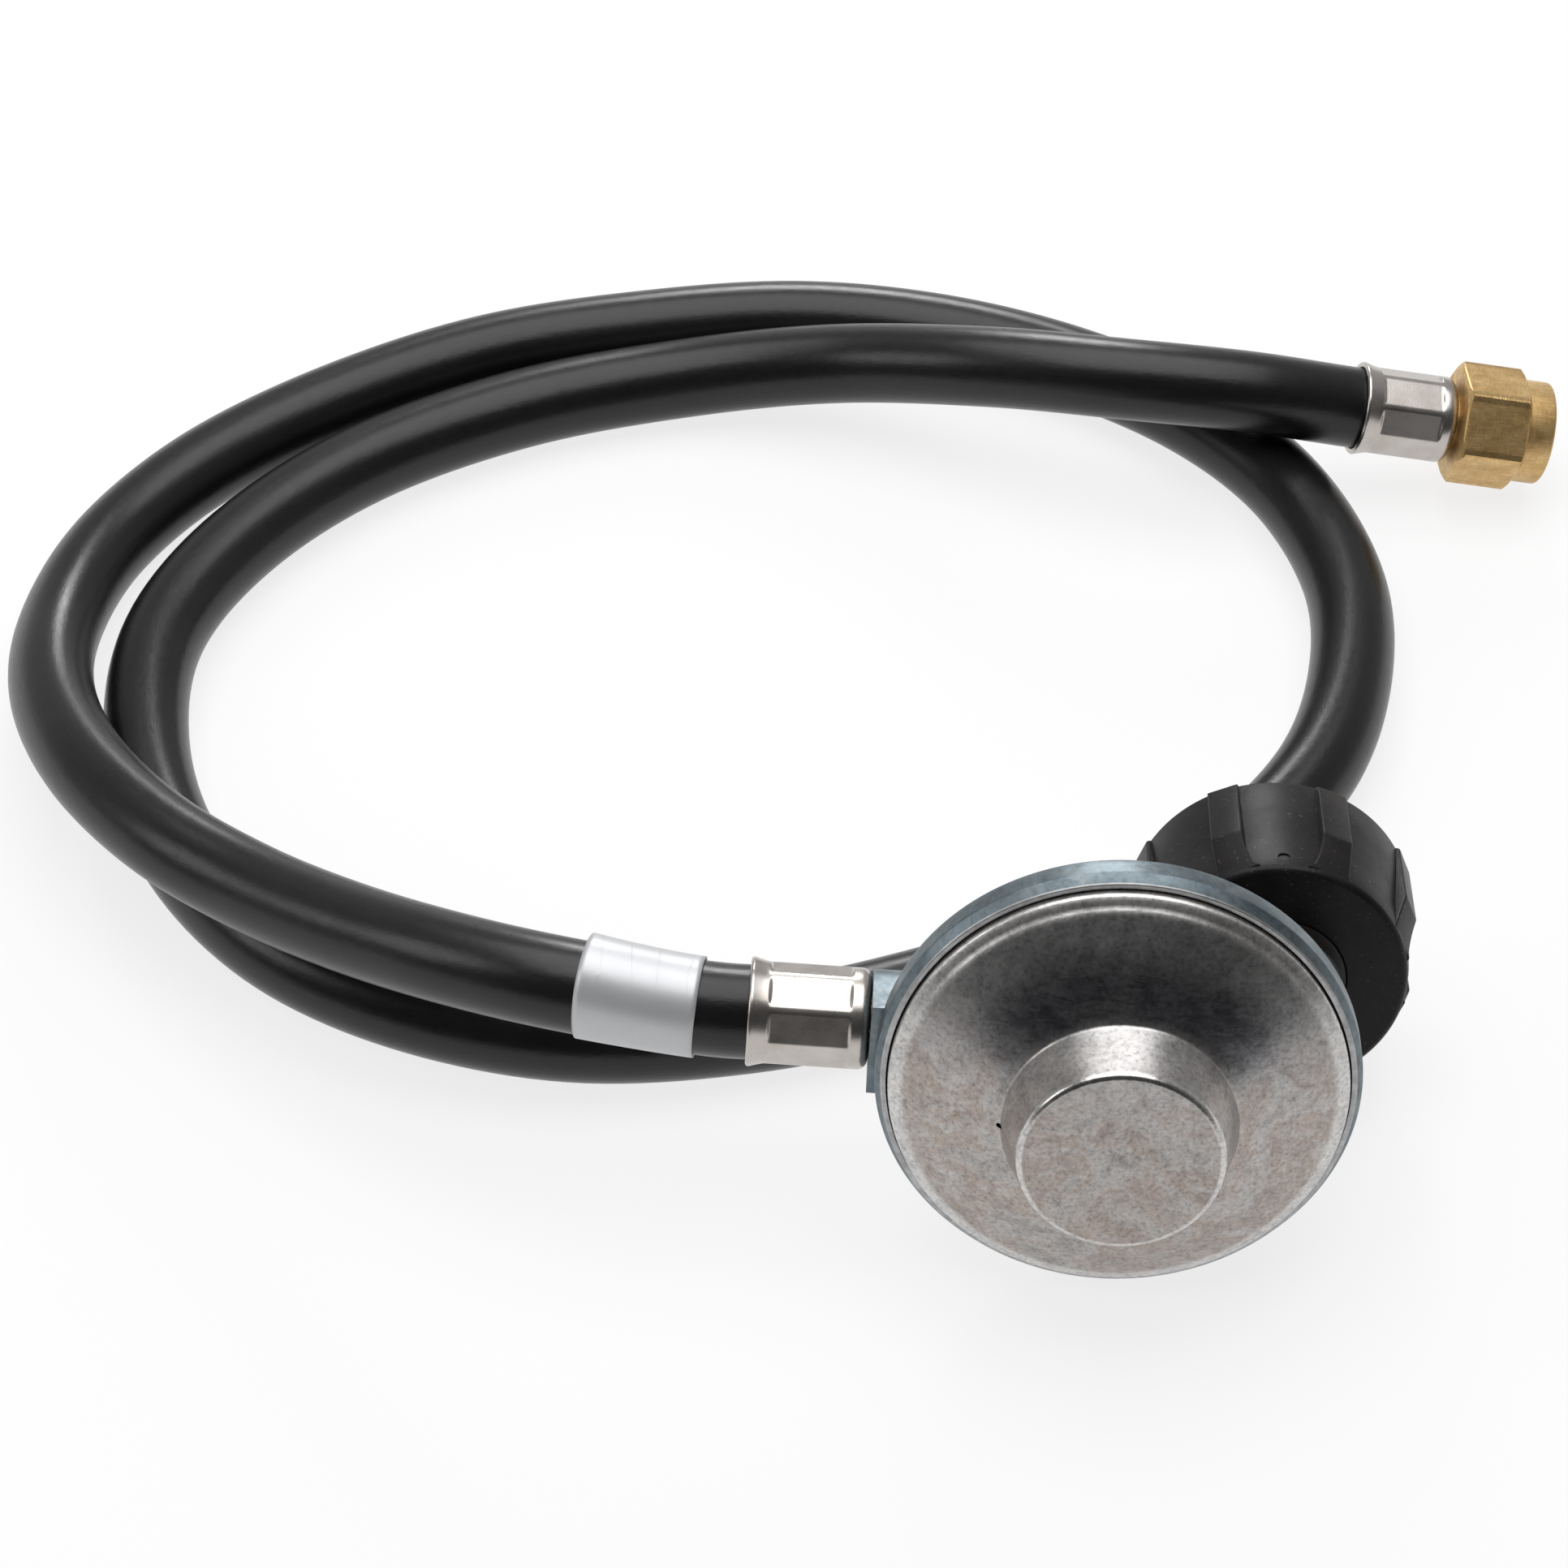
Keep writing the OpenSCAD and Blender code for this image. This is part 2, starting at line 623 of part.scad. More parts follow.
orifice_r = 3.4;
module orifice() {
    color([0.80, 0.66, 0.35])
    place_regulator()
    translate([inlet_x, 0, 0])
    difference() {
        union() {
            translate([0, 0, -body_depth])
                cylinder(r = orifice_r, h = body_wall + 1.4);
            translate([0, 0, -body_depth])
                cylinder(r1 = nozzle_r + 0.8, r2 = nozzle_r, h = orifice_top + body_depth);
        }
        translate([0, 0, -body_depth - 1])
            cylinder(r = orifice_bore_r, h = body_depth + 2 + orifice_top + 1, $fn = 32);
        translate([0, 0, -body_depth - 1])
            cylinder(r = 2, h = 3);
    }
}

module inlet_nipple() {
    seal_at = nut_mouth - 9;
    color([0.80, 0.66, 0.35])
    place_regulator()
    translate([inlet_x, 0, 0])
    difference() {
        rotate_extrude()
            polygon(concat(
                [[0, -body_depth - 1.5], [nipple_thread_r, -body_depth - 1.5],
                 [nipple_thread_r, -inlet_boss_depth], [collar_r, -inlet_boss_depth],
                 [collar_r, -nut_inner - slip * 4],
                 [flange_r, -nut_inner - slip * 4], [flange_r, -nut_inner - slip * 4 - flange_t],
                 [nipple_r, -nut_inner - slip * 4 - flange_t],
                 [nipple_r, -seal_at + 1.2], [nipple_r - 1.3, -seal_at + 1.2],
                 [nipple_r - 1.3, -seal_at - 1.2], [nipple_r, -seal_at - 1.2],
                 [nipple_r, -nose_end + 4.2]],
                arc(nipple_r - 2.2, -nose_end + 2, 2, 20, -90, 5),
                [[0, -nose_end]]));
        translate([0, 0, -nose_end - 1])
            cylinder(r = 3.6, h = nose_end - body_depth + 4);
        translate([0, 0, -cage_at - cage_t])
            cylinder(r = poppet_bore_r, h = cage_at + cage_t - poppet_bore_in);
        translate([0, 0, -nose_end - 1])
            cylinder(r = poppet_bore_r, h = nose_end + 1 - cage_at);
    }
}

module nose_seal() {
    seal_at = nut_mouth - 9;
    section_r = 1.05;
    color([0.10, 0.10, 0.10])
    place_regulator()
    translate([inlet_x, 0, -seal_at])
        rotate_extrude()
            translate([nipple_r - 1.3 + section_r + seat_gap, 0])
                circle(r = section_r, $fn = 24);
}

// Coupling nut in its own frame: +Z along the inlet axis, Z = 0 at the rear face.
module nut_body() {
    shoulder_r = nut_pad_r - valley_depth - 0.2;
    rotate_extrude()
        polygon(concat(
            [[0, 0]],
            arc(shoulder_r - shoulder_round, -shoulder_round, shoulder_round, 90, 0, 5),
            [[nut_pad_r - valley_depth, -shoulder_round - 1.2],
             [nut_pad_r - valley_depth + 0.25, -facet_len + 1], [nut_low_r, -nut_len + 3]],
            arc(nut_low_r - nut_round, -nut_len + nut_round, nut_round, 0, -90, 3),
            [[0, -nut_len]]));
}

// Grips: even pads that slope down into the shoulder at the rear end, each spreading
// there towards the valley that it shares with one neighbour.
module grips() {
    inner = nut_pad_r - 5;
    rear = -shoulder_round + 0.2;
    half = grip_w / 2;
    reach = facet_len + rear;
    spread = [for (k = [0:5]) let (u = 18 * k)
        [half + grip_spread * (1 - cos(u)), rear - reach - 0.4 + (reach + 1) * sin(u)]];
    intersection() {
        rotate_extrude()
            polygon(concat(
                [[inner, rear], [nut_pad_r - facet_drop, rear], [nut_pad_r, -facet_len]],
                arc(nut_pad_r - nut_round, -nut_len + nut_round, nut_round, 0, -90, 3),
                [[inner, -nut_len]]));
        for (i = [0:nut_grips - 1])
            rotate([0, 0, 360 * i / nut_grips])
                mirror([0, (i + 1) % 2, 0])
                    rotate([90, 0, 90])
                        linear_extrude(height = nut_pad_r + 2)
                            polygon(concat([[-half, -nut_len - 1], [half, -nut_len - 1]], spread,
                                           [[-half, rear + 0.6]]));
    }
}

module coupling_nut() {
    hole_r = bushing_r + fit_gap;
    color([0.17, 0.17, 0.18])
    place_regulator()
    translate([inlet_x, 0, -nut_rear])
    rotate([0, 0, nut_phase])
    difference() {
        union() {
            nut_body();
            grips();
        }
        translate([0, 0, -nut_len - 1])
            cylinder(r = nut_thread_r, h = nut_len + 1 - nut_wall);
        translate([0, 0, -nut_wall - 1])
            cylinder(r = hole_r, h = nut_wall + 2);
    }
}

module thermal_bushing() {
    color([0.12, 0.12, 0.12])
    place_regulator()
    translate([inlet_x, 0, -nut_inner])
    difference() {
        cylinder(r = bushing_r, h = nut_wall);
        translate([0, 0, -1])
            cylinder(r = collar_r, h = nut_wall + 2);
    }
}

module check_poppet() {
    color([0.78, 0.74, 0.62])
    place_regulator()
    translate([inlet_x, 0, -poppet_at - poppet_len])
    difference() {
        union() {
            cylinder(r = poppet_bore_r - fit_gap, h = poppet_len - 1.6);
            translate([0, 0, poppet_len - 1.6 - eps])
                cylinder(r1 = 4, r2 = 2.2, h = 1.6);
        }
        for (i = [0:3])
            rotate([0, 0, 90 * i])
                translate([poppet_bore_r, 0, -1])
                    cylinder(r = 1.2, h = poppet_len + 2, $fn = 24);
    }
}

module check_spring() {
    low = -poppet_at - 1.6 + slip;
    high = -poppet_bore_in - slip;
    color([0.6, 0.6, 0.62])
    place_regulator()
    translate([inlet_x, 0, 0])
        wound_wire(4.55, 0.28, 4, low, high);
}

module check_cage() {
    color([0.80, 0.66, 0.35])
    place_regulator()
    translate([inlet_x, 0, -cage_at - cage_t])
    difference() {
        cylinder(r = poppet_bore_r, h = cage_t);
        translate([0, 0, -1])
            cylinder(r = 1.1, h = cage_t + 2, $fn = 24);
        for (i = [0:4])
            rotate([0, 0, 72 * i])
                translate([3.2, 0, -1])
                    cylinder(r = 1, h = cage_t + 2, $fn = 24);
    }
}

// Barbed insert along +Z from Z = 0, with rounded ribs that the hose is crimped on.
barb_bore_r = 2.7;
barb_r = bore_r * cos(180 / hose_sides) - slip;
barb_seat_r = 5;
module barb_rod(from, to) {
    ribs = 3;
    pitch = (to - from - 4) / ribs;
    difference() {
        rotate_extrude()
            polygon(concat(
                [[0, from], [barb_r - 0.35, from]],
                [for (i = [0:ribs - 1]) for (p = [[barb_r - 0.35, 3], [barb_r, 3 + pitch * 0.1],
                                                  [barb_r - 0.35, 3 + pitch * 0.8]])
                    [p[0], from + p[1] + i * pitch]],
                [[barb_r - 0.5, to], [0, to]]));
        translate([0, 0, from - 1])
            cylinder(r = barb_bore_r, h = to - from + 2);
    }
}

module outlet_barb() {
    depth = outlet_face_x - chamber_r - 2.5;
    reach = reg_ferrule_len - 2.5;
    color([0.80, 0.66, 0.35])
    place_regulator()
    translate([-outlet_face_x, 0, -outlet_depth])
    rotate([0, -90, 0])
    union() {
        difference() {
            translate([0, 0, -depth])
                cylinder(r = barb_seat_r, h = depth);
            translate([0, 0, -depth - 1])
                cylinder(r = barb_bore_r, h = depth + 2);
        }
        barb_rod(-eps, reach);
    }
}

// Crimped ferrule along +Z: closed end at Z = 0, open flared lip at Z = len.
module ferrule(len, hole_r) {
    inner_r = hose_r + slip;
    outer_r = inner_r + ferrule_wall;
    flat_r = outer_r - 0.1;
    difference() {
        intersection() {
            rotate_extrude()
                polygon(concat(
                    [[0, 0]],
                    arc(outer_r - 1.1, 1.3, 1.3, -90, 0, 4),
                    [[outer_r + 0.2, 2.4], [outer_r, 3.2], [outer_r, len - 3.4],
                     [outer_r + 0.25, len - 2], [lip_r - 0.2, len - 0.5], [lip_r, len - 0.2],
                     [lip_r - 0.15, len], [0, len]]));
            union() {
                cylinder(r = lip_r + 1, h = 3);
                translate([0, 0, 3 - eps])
                    cylinder(r = flat_r / cos(22.5), h = len - 6.4, $fn = 8);
                translate([0, 0, len - 3.4 - 2 * eps])
                    cylinder(r = lip_r + 1, h = 5);
            }
        }
        translate([0, 0, ferrule_end_t])
            cylinder(r = inner_r, h = len);
        translate([0, 0, len - 1.6])
            cylinder(r1 = inner_r, r2 = lip_r - 0.45, h = 1.6 + eps);
        translate([0, 0, -1])
            cylinder(r = hole_r, h = 4);
    }
}

module regulator_ferrule() {
    color([0.70, 0.69, 0.67])
    place_regulator()
    translate([-ferrule_back, 0, -outlet_depth])
    rotate([0, -90, 0])
        ferrule(reg_ferrule_len, barb_r + slip);
}

module hose() {
    sides = hose_sides;
    outer = [for (i = [0:last]) each ring(i, hose_r, sides)];
    inner = [for (i = [0:last]) each ring(i, bore_r, sides)];
    base = len(outer);
    end = last * sides;
    walls = [for (i = [0:last - 1]) for (k = [0:sides - 1])
        let (n = (k + 1) % sides, a = i * sides)
        each concat(quad(a + k, a + n, a + sides + n, a + sides + k),
                    quad(base + a + k, base + a + sides + k, base + a + sides + n, base + a + n))];
    caps = [for (k = [0:sides - 1]) let (n = (k + 1) % sides)
        each concat(quad(k, base + k, base + n, n),
                    quad(end + k, end + n, base + end + n, base + end + k))];
    color([0.13, 0.13, 0.14])
    polyhedron(points = concat(outer, inner), faces = concat(walls, caps), convexity = 10);
}

// Foil band round the straight stretch between the third and fourth route points.
module label_band() {
    from = route[2];
    dir = unit(route[3] - route[2]);
    room = norm(route[3] - route[2]) - label_len;
    color([0.80, 0.80, 0.79])
    translate(from + dir * (room / 2 - label_shift))
    rotate([0, acos(dir[2]), atan2(dir[1], dir[0])])
    difference() {
        cylinder(r = hose_r + slip + label_t, h = label_len);
        translate([0, 0, -1])
            cylinder(r = hose_r + slip, h = label_len + 2);
    }
}

module flare_ferrule() {
    color([0.76, 0.76, 0.77])
    place_flare()
    translate([0, 0, flare_back_z])
    mirror([0, 0, 1])
        ferrule(flare_ferrule_len, barb_r + slip);
}

module flare_tail() {
    flange_z0 = flare_nut_z + flare_back_wall + 0.2;
    nose = flare_nut_end - flare_clear;
    color([0.80, 0.63, 0.30])
    place_flare()
    union() {
        mirror([0, 0, 1])
            barb_rod(-flare_back_z, flare_ferrule_len - 3);
        difference() {
            union() {
                translate([0, 0, flare_back_z])
                    cylinder(r = neck_r, h = flange_z0 - flare_back_z + 1);
                translate([0, 0, flange_z0])
                    cylinder(r = flare_flange_r, h = 1.4);
                translate([0, 0, flange_z0 + 1.4 - eps])
                    cylinder(r1 = flare_flange_r - 0.4, r2 = 3.6, h = nose - flange_z0 - 1.4);
            }
            translate([0, 0, flare_back_z - 1])
                cylinder(r = barb_bore_r, h = nose + 2);
        }
    }
}

module flare_nut() {
    corner = flare_hex_af / sqrt(3);
    bevel = 1.2;
    color([0.83, 0.66, 0.32])
    place_flare()
    translate([0, 0, flare_nut_z])
    difference() {
        union() {
            intersection() {
                cylinder(r = corner, h = flare_hex_len, $fn = 6);
                rotate_extrude()
                    polygon([[0, 0], [corner - bevel, 0], [corner, 0.55 * bevel],
                             [corner, flare_hex_len - 0.55 * bevel],
                             [corner - bevel, flare_hex_len], [0, flare_hex_len]]);
            }
            rotate_extrude()
                polygon([[0, flare_hex_len - 1], [flare_collar_r, flare_hex_len - 1],
                         [flare_collar_r, flare_nut_len - 0.5],
                         [flare_collar_r - 0.5, flare_nut_len], [0, flare_nut_len]]);
        }
        translate([0, 0, -1])
            cylinder(r = neck_r + fit_gap, h = flare_nut_len);
        translate([0, 0, flare_back_wall])
            cylinder(r = flare_relief_r, h = flare_nut_len - flare_clear - flare_back_wall);
        translate([0, 0, flare_nut_len - flare_clear - 1])
            cylinder(r = flare_thread_r, h = flare_clear + 2);
    }
}

body_casting();
bonnet();
diaphragm();
diaphragm_plate();
diaphragm_post();
relief_spring();
relief_washer();
main_spring();
adjuster_disc();
tower_cap();
valve_lever();
lever_pin();
seat_pad();
orifice();
inlet_nipple();
nose_seal();
coupling_nut();
thermal_bushing();
check_poppet();
check_spring();
check_cage();
outlet_barb();
regulator_ferrule();
hose();
label_band();
flare_ferrule();
flare_tail();
flare_nut();
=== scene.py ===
"""Propane regulator hose: regulator, coupling nut, coiled hose and fittings."""

import json
import math

import bmesh
import bpy
from mathutils import Matrix, Vector


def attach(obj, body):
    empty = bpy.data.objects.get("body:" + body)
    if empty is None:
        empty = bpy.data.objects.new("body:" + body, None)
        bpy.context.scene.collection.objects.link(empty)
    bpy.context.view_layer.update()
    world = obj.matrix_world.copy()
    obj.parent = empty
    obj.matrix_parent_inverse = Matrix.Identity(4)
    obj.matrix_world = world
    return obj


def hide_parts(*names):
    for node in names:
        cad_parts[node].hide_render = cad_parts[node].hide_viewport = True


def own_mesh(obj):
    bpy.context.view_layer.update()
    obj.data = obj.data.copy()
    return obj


bl_info = {
    "name": "Propane Regulator Hose",
    "version": (1, 0, 0),
    "blender": (4, 5, 0),
    "location": "View3D > Sidebar > Regulator",
    "description": "Builds a low pressure gas regulator with its hose and fittings",
    "category": "Add Mesh",
}

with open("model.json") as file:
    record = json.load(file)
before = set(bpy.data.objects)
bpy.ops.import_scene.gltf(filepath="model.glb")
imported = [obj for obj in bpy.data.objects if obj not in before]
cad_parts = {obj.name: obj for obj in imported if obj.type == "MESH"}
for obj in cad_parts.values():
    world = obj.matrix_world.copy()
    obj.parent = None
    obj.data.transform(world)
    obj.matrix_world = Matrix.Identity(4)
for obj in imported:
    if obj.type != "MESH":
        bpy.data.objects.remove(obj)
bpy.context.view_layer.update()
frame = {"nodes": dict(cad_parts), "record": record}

MM = 0.001
TURN = 2 * math.pi

# ----------------------------------------------------------
# Sizes, the same as in the solid model, in millimetres and degrees
# ----------------------------------------------------------

# Body, bonnet and spring tower; heights run from the rim's front face out of the bonnet.
RIM_R, RIM_BAND, RIM_EDGE = 36.0, 5.0, 0.8
BACK_R, BACK_Z, BACK_ROUND = 26, -20, 3
BONNET_R = 34.0
TOWER_TOP_R, TOWER_H, TOWER_ROUND = 15.2, 20.1, 1.05
MOUTH_R, MOUTH_SEAT, CAP_R = 14.06, 18.0, 14.055
OUTLET_FACE_X, OUTLET_DEPTH, BOSS_R, BOSS_ROOT_X = 36.9, 13.0, 7.6, 26.5
INLET_BOSS_R, INLET_BOSS_Z, NIPPLE_BORE_R = 10, -29, 6.6

# Coupling nut, from its rear face at height 0 to its open end at -NUT_LEN
INLET_X, NUT_REAR, NUT_LEN, NUT_PAD_R, VALLEY_FAR = 25.0, 31.5, 23.0, 22.4, 0.5
NUT_THREAD_R, NUT_ROOT_R, NUT_PITCH, BUSHING_R = 16.3, 17.1, 5.0, 10.6
GRIPS, GRIP_W, GRIP_FOOT_R, NUT_ROUND = 8, 5.0, 16.8, 0.6
FACET_LEN, FACET_DROP, GRIP_SPREAD, SHOULDER = 8.3, 2.3, 1.9, 1.2

# Hose, ferrules and label
HOSE_R, HOSE_BORE_R = 7.15, 4
REG_FERRULE, FLARE_FERRULE, FERRULE_EYE_R, LIP_R = 18.0, 16.8, 4.1, 8.25
FERRULE_STAND, REG_FERRULE_TURN, FLARE_FERRULE_TURN = 1.2, -8, -20
LABEL_LEN, LABEL_SHIFT = 17.5, 1.1

# Flare nut
NECK, HEX_LEN, COLLAR_LEN, HEX_AF, COLLAR_R = 1.0, 11.8, 4.8, 19.05, 9.1
NECK_BORE_R, FLARE_THREAD_R, FLARE_ROOT_R, FLARE_PITCH = 5.06, 7.05, 7.7, 1.41

# How the regulator lies: its place on the table, its turns and the gap under it
REGULATOR_SPOT, YAW, ROLL, TABLE_GAP = (-5.98, -16.96), 2.4, 2.5, 0.05
FLARE_TURN = 23.0


def regulator_place():
    """The regulator's own frame: +Z out of the bonnet, +X towards the inlet."""
    reach = RIM_R - RIM_EDGE - INLET_X * math.sin(math.radians(ROLL))
    lean_a = reach - (NUT_PAD_R - VALLEY_FAR - NUT_ROUND)
    lean_b = (NUT_REAR + NUT_LEN - NUT_ROUND) - (RIM_BAND - RIM_EDGE)
    tilt = math.acos((NUT_ROUND - RIM_EDGE) / math.hypot(lean_a, lean_b))
    tilt -= math.atan2(lean_b, lean_a)
    height = (
        (RIM_R - RIM_EDGE) * math.cos(tilt)
        + (RIM_BAND - RIM_EDGE) * math.sin(tilt)
        + RIM_EDGE
        + TABLE_GAP
    )
    x, y = REGULATOR_SPOT
    return (
        Matrix.Translation((x * MM, y * MM, height * MM))
        @ Matrix.Rotation(math.radians(-YAW), 4, "Z")
        @ Matrix.Rotation(math.radians(90) - tilt, 4, "X")
        @ Matrix.Rotation(math.radians(-ROLL), 4, "Z")
    )


REGULATOR = regulator_place()


def on_regulator(x, y, z):
    """Where a place in the regulator's own frame, in millimetres, lies on the table."""
    return REGULATOR @ Vector((x * MM, y * MM, z * MM))


# The hose's route, in millimetres; the first three points lie on the outlet's axis.
HOSE_Z = HOSE_R
ROUTE = [tuple(on_regulator(-x, 0, -OUTLET_DEPTH) / MM) for x in (38.5, 50, 62)] + [
    (-87.8, 2.8, 36.1), (-105.4, 10.6, 33.4), (-122.5, 22, 28.3), (-139, 34.6, 24.1),
    (-155.4, 48.7, 22), (-169.4, 67.8, 18.7), (-177.8, 89.9, 13.8), (-178.9, 112.3, 9.3),
    (-172.7, 134.9, HOSE_Z), (-158, 155, HOSE_Z), (-135.9, 172.5, HOSE_Z),
    (-110, 186, HOSE_Z), (-82, 193, HOSE_Z), (-53, 196, HOSE_Z), (-26, 192, HOSE_Z),
    (-1, 182, HOSE_Z), (19.6, 167.3, HOSE_Z), (34.5, 147.8, HOSE_Z),
    (42.2, 122.8, HOSE_Z), (40.6, 98, HOSE_Z), (32.3, 75.7, HOSE_Z), (16, 56, HOSE_Z),
    (-8, 39, HOSE_Z), (-34, 27.4, HOSE_Z), (-61, 20, HOSE_Z), (-88.9, 18.2, HOSE_Z),
    (-115.8, 25.1, HOSE_Z), (-137.8, 38.4, HOSE_Z), (-154, 59, HOSE_Z),
    (-162, 84, HOSE_Z), (-161.7, 110.4, HOSE_Z), (-150.3, 134.5, HOSE_Z),
    (-130.1, 155.4, HOSE_Z), (-103, 170.5, HOSE_Z), (-74, 178, 8), (-46, 175.4, 13.7),
    (-18.4, 164.4, 22.1), (5.6, 157.1, 25.3), (26.9, 156.1, 23.3), (45.5, 158.7, 17.6),
    (61.5, 159, 14.5),
]


def smooth_path(points, steps=10):
    """Points of one smooth curve through the route, with straight first and last runs."""
    pts = [Vector(p) for p in points]
    before = pts[0] * 2 - pts[1]
    after = pts[-1] * 2 - pts[-2]
    pts = [before] + pts + [after]
    path = []
    for i in range(1, len(pts) - 2):
        a, b, c, d = pts[i - 1 : i + 3]
        for k in range(steps):
            t = k / steps
            path.append(
                0.5
                * (
                    2 * b
                    + (c - a) * t
                    + (2 * a - 5 * b + 4 * c - d) * t * t
                    + (3 * b - a - 3 * c + d) * t**3
                )
            )
    path.append(pts[-2])
    return [p * MM for p in path]


HOSE_PATH = smooth_path(ROUTE)


def flare_place():
    """The flare fitting's own frame: +Z along the hose's end, 0 at its last point."""
    d = (Vector(ROUTE[-1]) - Vector(ROUTE[-2])).normalized()
    return (
        Matrix.Translation(Vector(ROUTE[-1]) * MM)
        @ Matrix.Rotation(math.atan2(d.y, d.x), 4, "Z")
        @ Matrix.Rotation(math.acos(d.z), 4, "Y")
        @ Matrix.Rotation(math.radians(FLARE_TURN), 4, "Z")
    )


FLARE = flare_place()
# The coupling nut's own frame, on its axis
INLET = (
    REGULATOR
    @ Matrix.Translation((INLET_X * MM, 0, -NUT_REAR * MM))
    @ Matrix.Rotation(math.radians(180 / GRIPS + ROLL), 4, "Z")
)
# The ferrule's own frame at the regulator: +Z along the outlet, away from the body
OUTLET = (
    REGULATOR
    @ Matrix.Translation((-(OUTLET_FACE_X + 0.4) * MM, 0, -OUTLET_DEPTH * MM))
    @ Matrix.Rotation(math.radians(-90), 4, "Y")
)

# ----------------------------------------------------------
# Materials
# ----------------------------------------------------------


def set_stops(ramp, stops):
    """Sets a colour ramp's stops, each a position with a grey level or a colour."""
    while len(ramp.elements) < len(stops):
        ramp.elements.new(0.5)
    for element, (position, colour) in zip(ramp.elements, stops):
        if isinstance(colour, (int, float)):
            colour = (colour,) * 3
        element.position = position
        element.color = (*colour, 1)


class Finish:
    """A material's node tree, built up with short calls."""

    def __init__(self, name, colour, roughness, metallic=0.0, **sockets):
        self.material = bpy.data.materials.new(name)
        self.material.use_nodes = True
        self.tree = self.material.node_tree
        self.shader = self.tree.nodes["Principled BSDF"]
        self.shader.inputs["Base Color"].default_value = (*colour, 1)
        self.shader.inputs["Roughness"].default_value = roughness
        self.shader.inputs["Metallic"].default_value = metallic
        for key, value in sockets.items():
            self.shader.inputs[key.replace("_", " ")].default_value = value
        self.bumps = []

    def node(self, kind, **settings):
        """A node with its settings and sockets set; a socket's spaces are underscores."""
        made = self.tree.nodes.new(kind)
        for key, value in settings.items():
            socket = key.replace("_", " ")
            if socket in made.inputs:
                made.inputs[socket].default_value = value
            else:
                setattr(made, key, value)
        return made

    def link(self, out, into):
        self.tree.links.new(out, into)

    def mapped(self, vector, **settings):
        made = self.node("ShaderNodeMapping", **settings)
        self.link(vector, made.inputs["Vector"])
        return made.outputs["Vector"]

    def place(self, matrix=None, stretch=None, uv=False):
        """Coordinates in metres in a piece's own frame, or its UV map."""
        out = self.node("ShaderNodeTexCoord").outputs["UV" if uv else "Object"]
        if matrix is not None:
            spot, turn = matrix.to_translation(), matrix.to_euler()
            out = self.mapped(out, vector_type="TEXTURE", Location=spot, Rotation=turn)
        if stretch is not None:
            out = self.mapped(out, vector_type="POINT", Scale=stretch)
        return out

    def noise(self, vector, scale, detail=4.0, rough=0.55, distortion=0.0):
        settings = dict(Scale=scale, Detail=detail, Roughness=rough, Distortion=distortion)
        made = self.node("ShaderNodeTexNoise", **settings)
        self.link(vector, made.inputs["Vector"])
        return made.outputs["Fac"]

    def ramp(self, factor, stops):
        made = self.node("ShaderNodeValToRGB")
        set_stops(made.color_ramp, stops)
        self.link(factor, made.inputs["Fac"])
        return made.outputs["Color"]

    def mix(self, factor, a, b, blend="MIX"):
        made = self.node("ShaderNodeMix", data_type="RGBA", blend_type=blend)
        for socket, value in (
            (made.inputs[0], factor),
            (made.inputs[6], a),
            (made.inputs[7], b),
        ):
            if hasattr(value, "is_output"):
                self.link(value, socket)
            elif isinstance(value, (int, float)):
                socket.default_value = value
            else:
                socket.default_value = (*value, 1)
        return made.outputs[2]

    def sum(self, a, b, operation="ADD"):
        made = self.node("ShaderNodeMath", operation=operation)
        for socket, value in zip(made.inputs, (a, b)):
            if hasattr(value, "is_output"):
                self.link(value, socket)
            else:
                socket.default_value = value
        return made.outputs[0]

    def spread(self, factor, low, high):
        """A 0 to 1 factor spread over a range of values."""
        made = self.node("ShaderNodeMapRange", To_Min=low, To_Max=high)
        self.link(factor, made.inputs["Value"])
        return made.outputs["Result"]

    def part(self, vector, axis):
        """One coordinate of a place, by its letter."""
        made = self.node("ShaderNodeSeparateXYZ")
        self.link(vector, made.inputs[0])
        return made.outputs[axis]

    def radius(self, vector):
        """Distance of a place from its own Z axis."""
        flat = self.node("ShaderNodeVectorMath", operation="MULTIPLY")
        flat.inputs[1].default_value = (1, 1, 0)
        self.link(vector, flat.inputs[0])
        made = self.node("ShaderNodeVectorMath", operation="LENGTH")
        self.link(flat.outputs[0], made.inputs[0])
        return made.outputs["Value"]

    def step(self, value, low, high):
        """Soft step of a value from 0 at low to 1 at high."""
        made = self.node("ShaderNodeMapRange", From_Min=low, From_Max=high)
        made.interpolation_type = "SMOOTHSTEP"
        self.link(value, made.inputs["Value"])
        return made.outputs["Result"]

    def bump(self, height, distance, strength):
        """Adds a bump of a depth in metres to those that the shader has."""
        made = self.node("ShaderNodeBump", Strength=strength, Distance=distance)
        self.link(height, made.inputs["Height"])
        if self.bumps:
            self.link(self.bumps[-1].outputs["Normal"], made.inputs["Normal"])
        self.bumps.append(made)
        self.link(made.outputs["Normal"], self.shader.inputs["Normal"])

    def colour(self, out):
        self.link(out, self.shader.inputs["Base Color"])

    def roughness(self, out):
        self.link(out, self.shader.inputs["Roughness"])


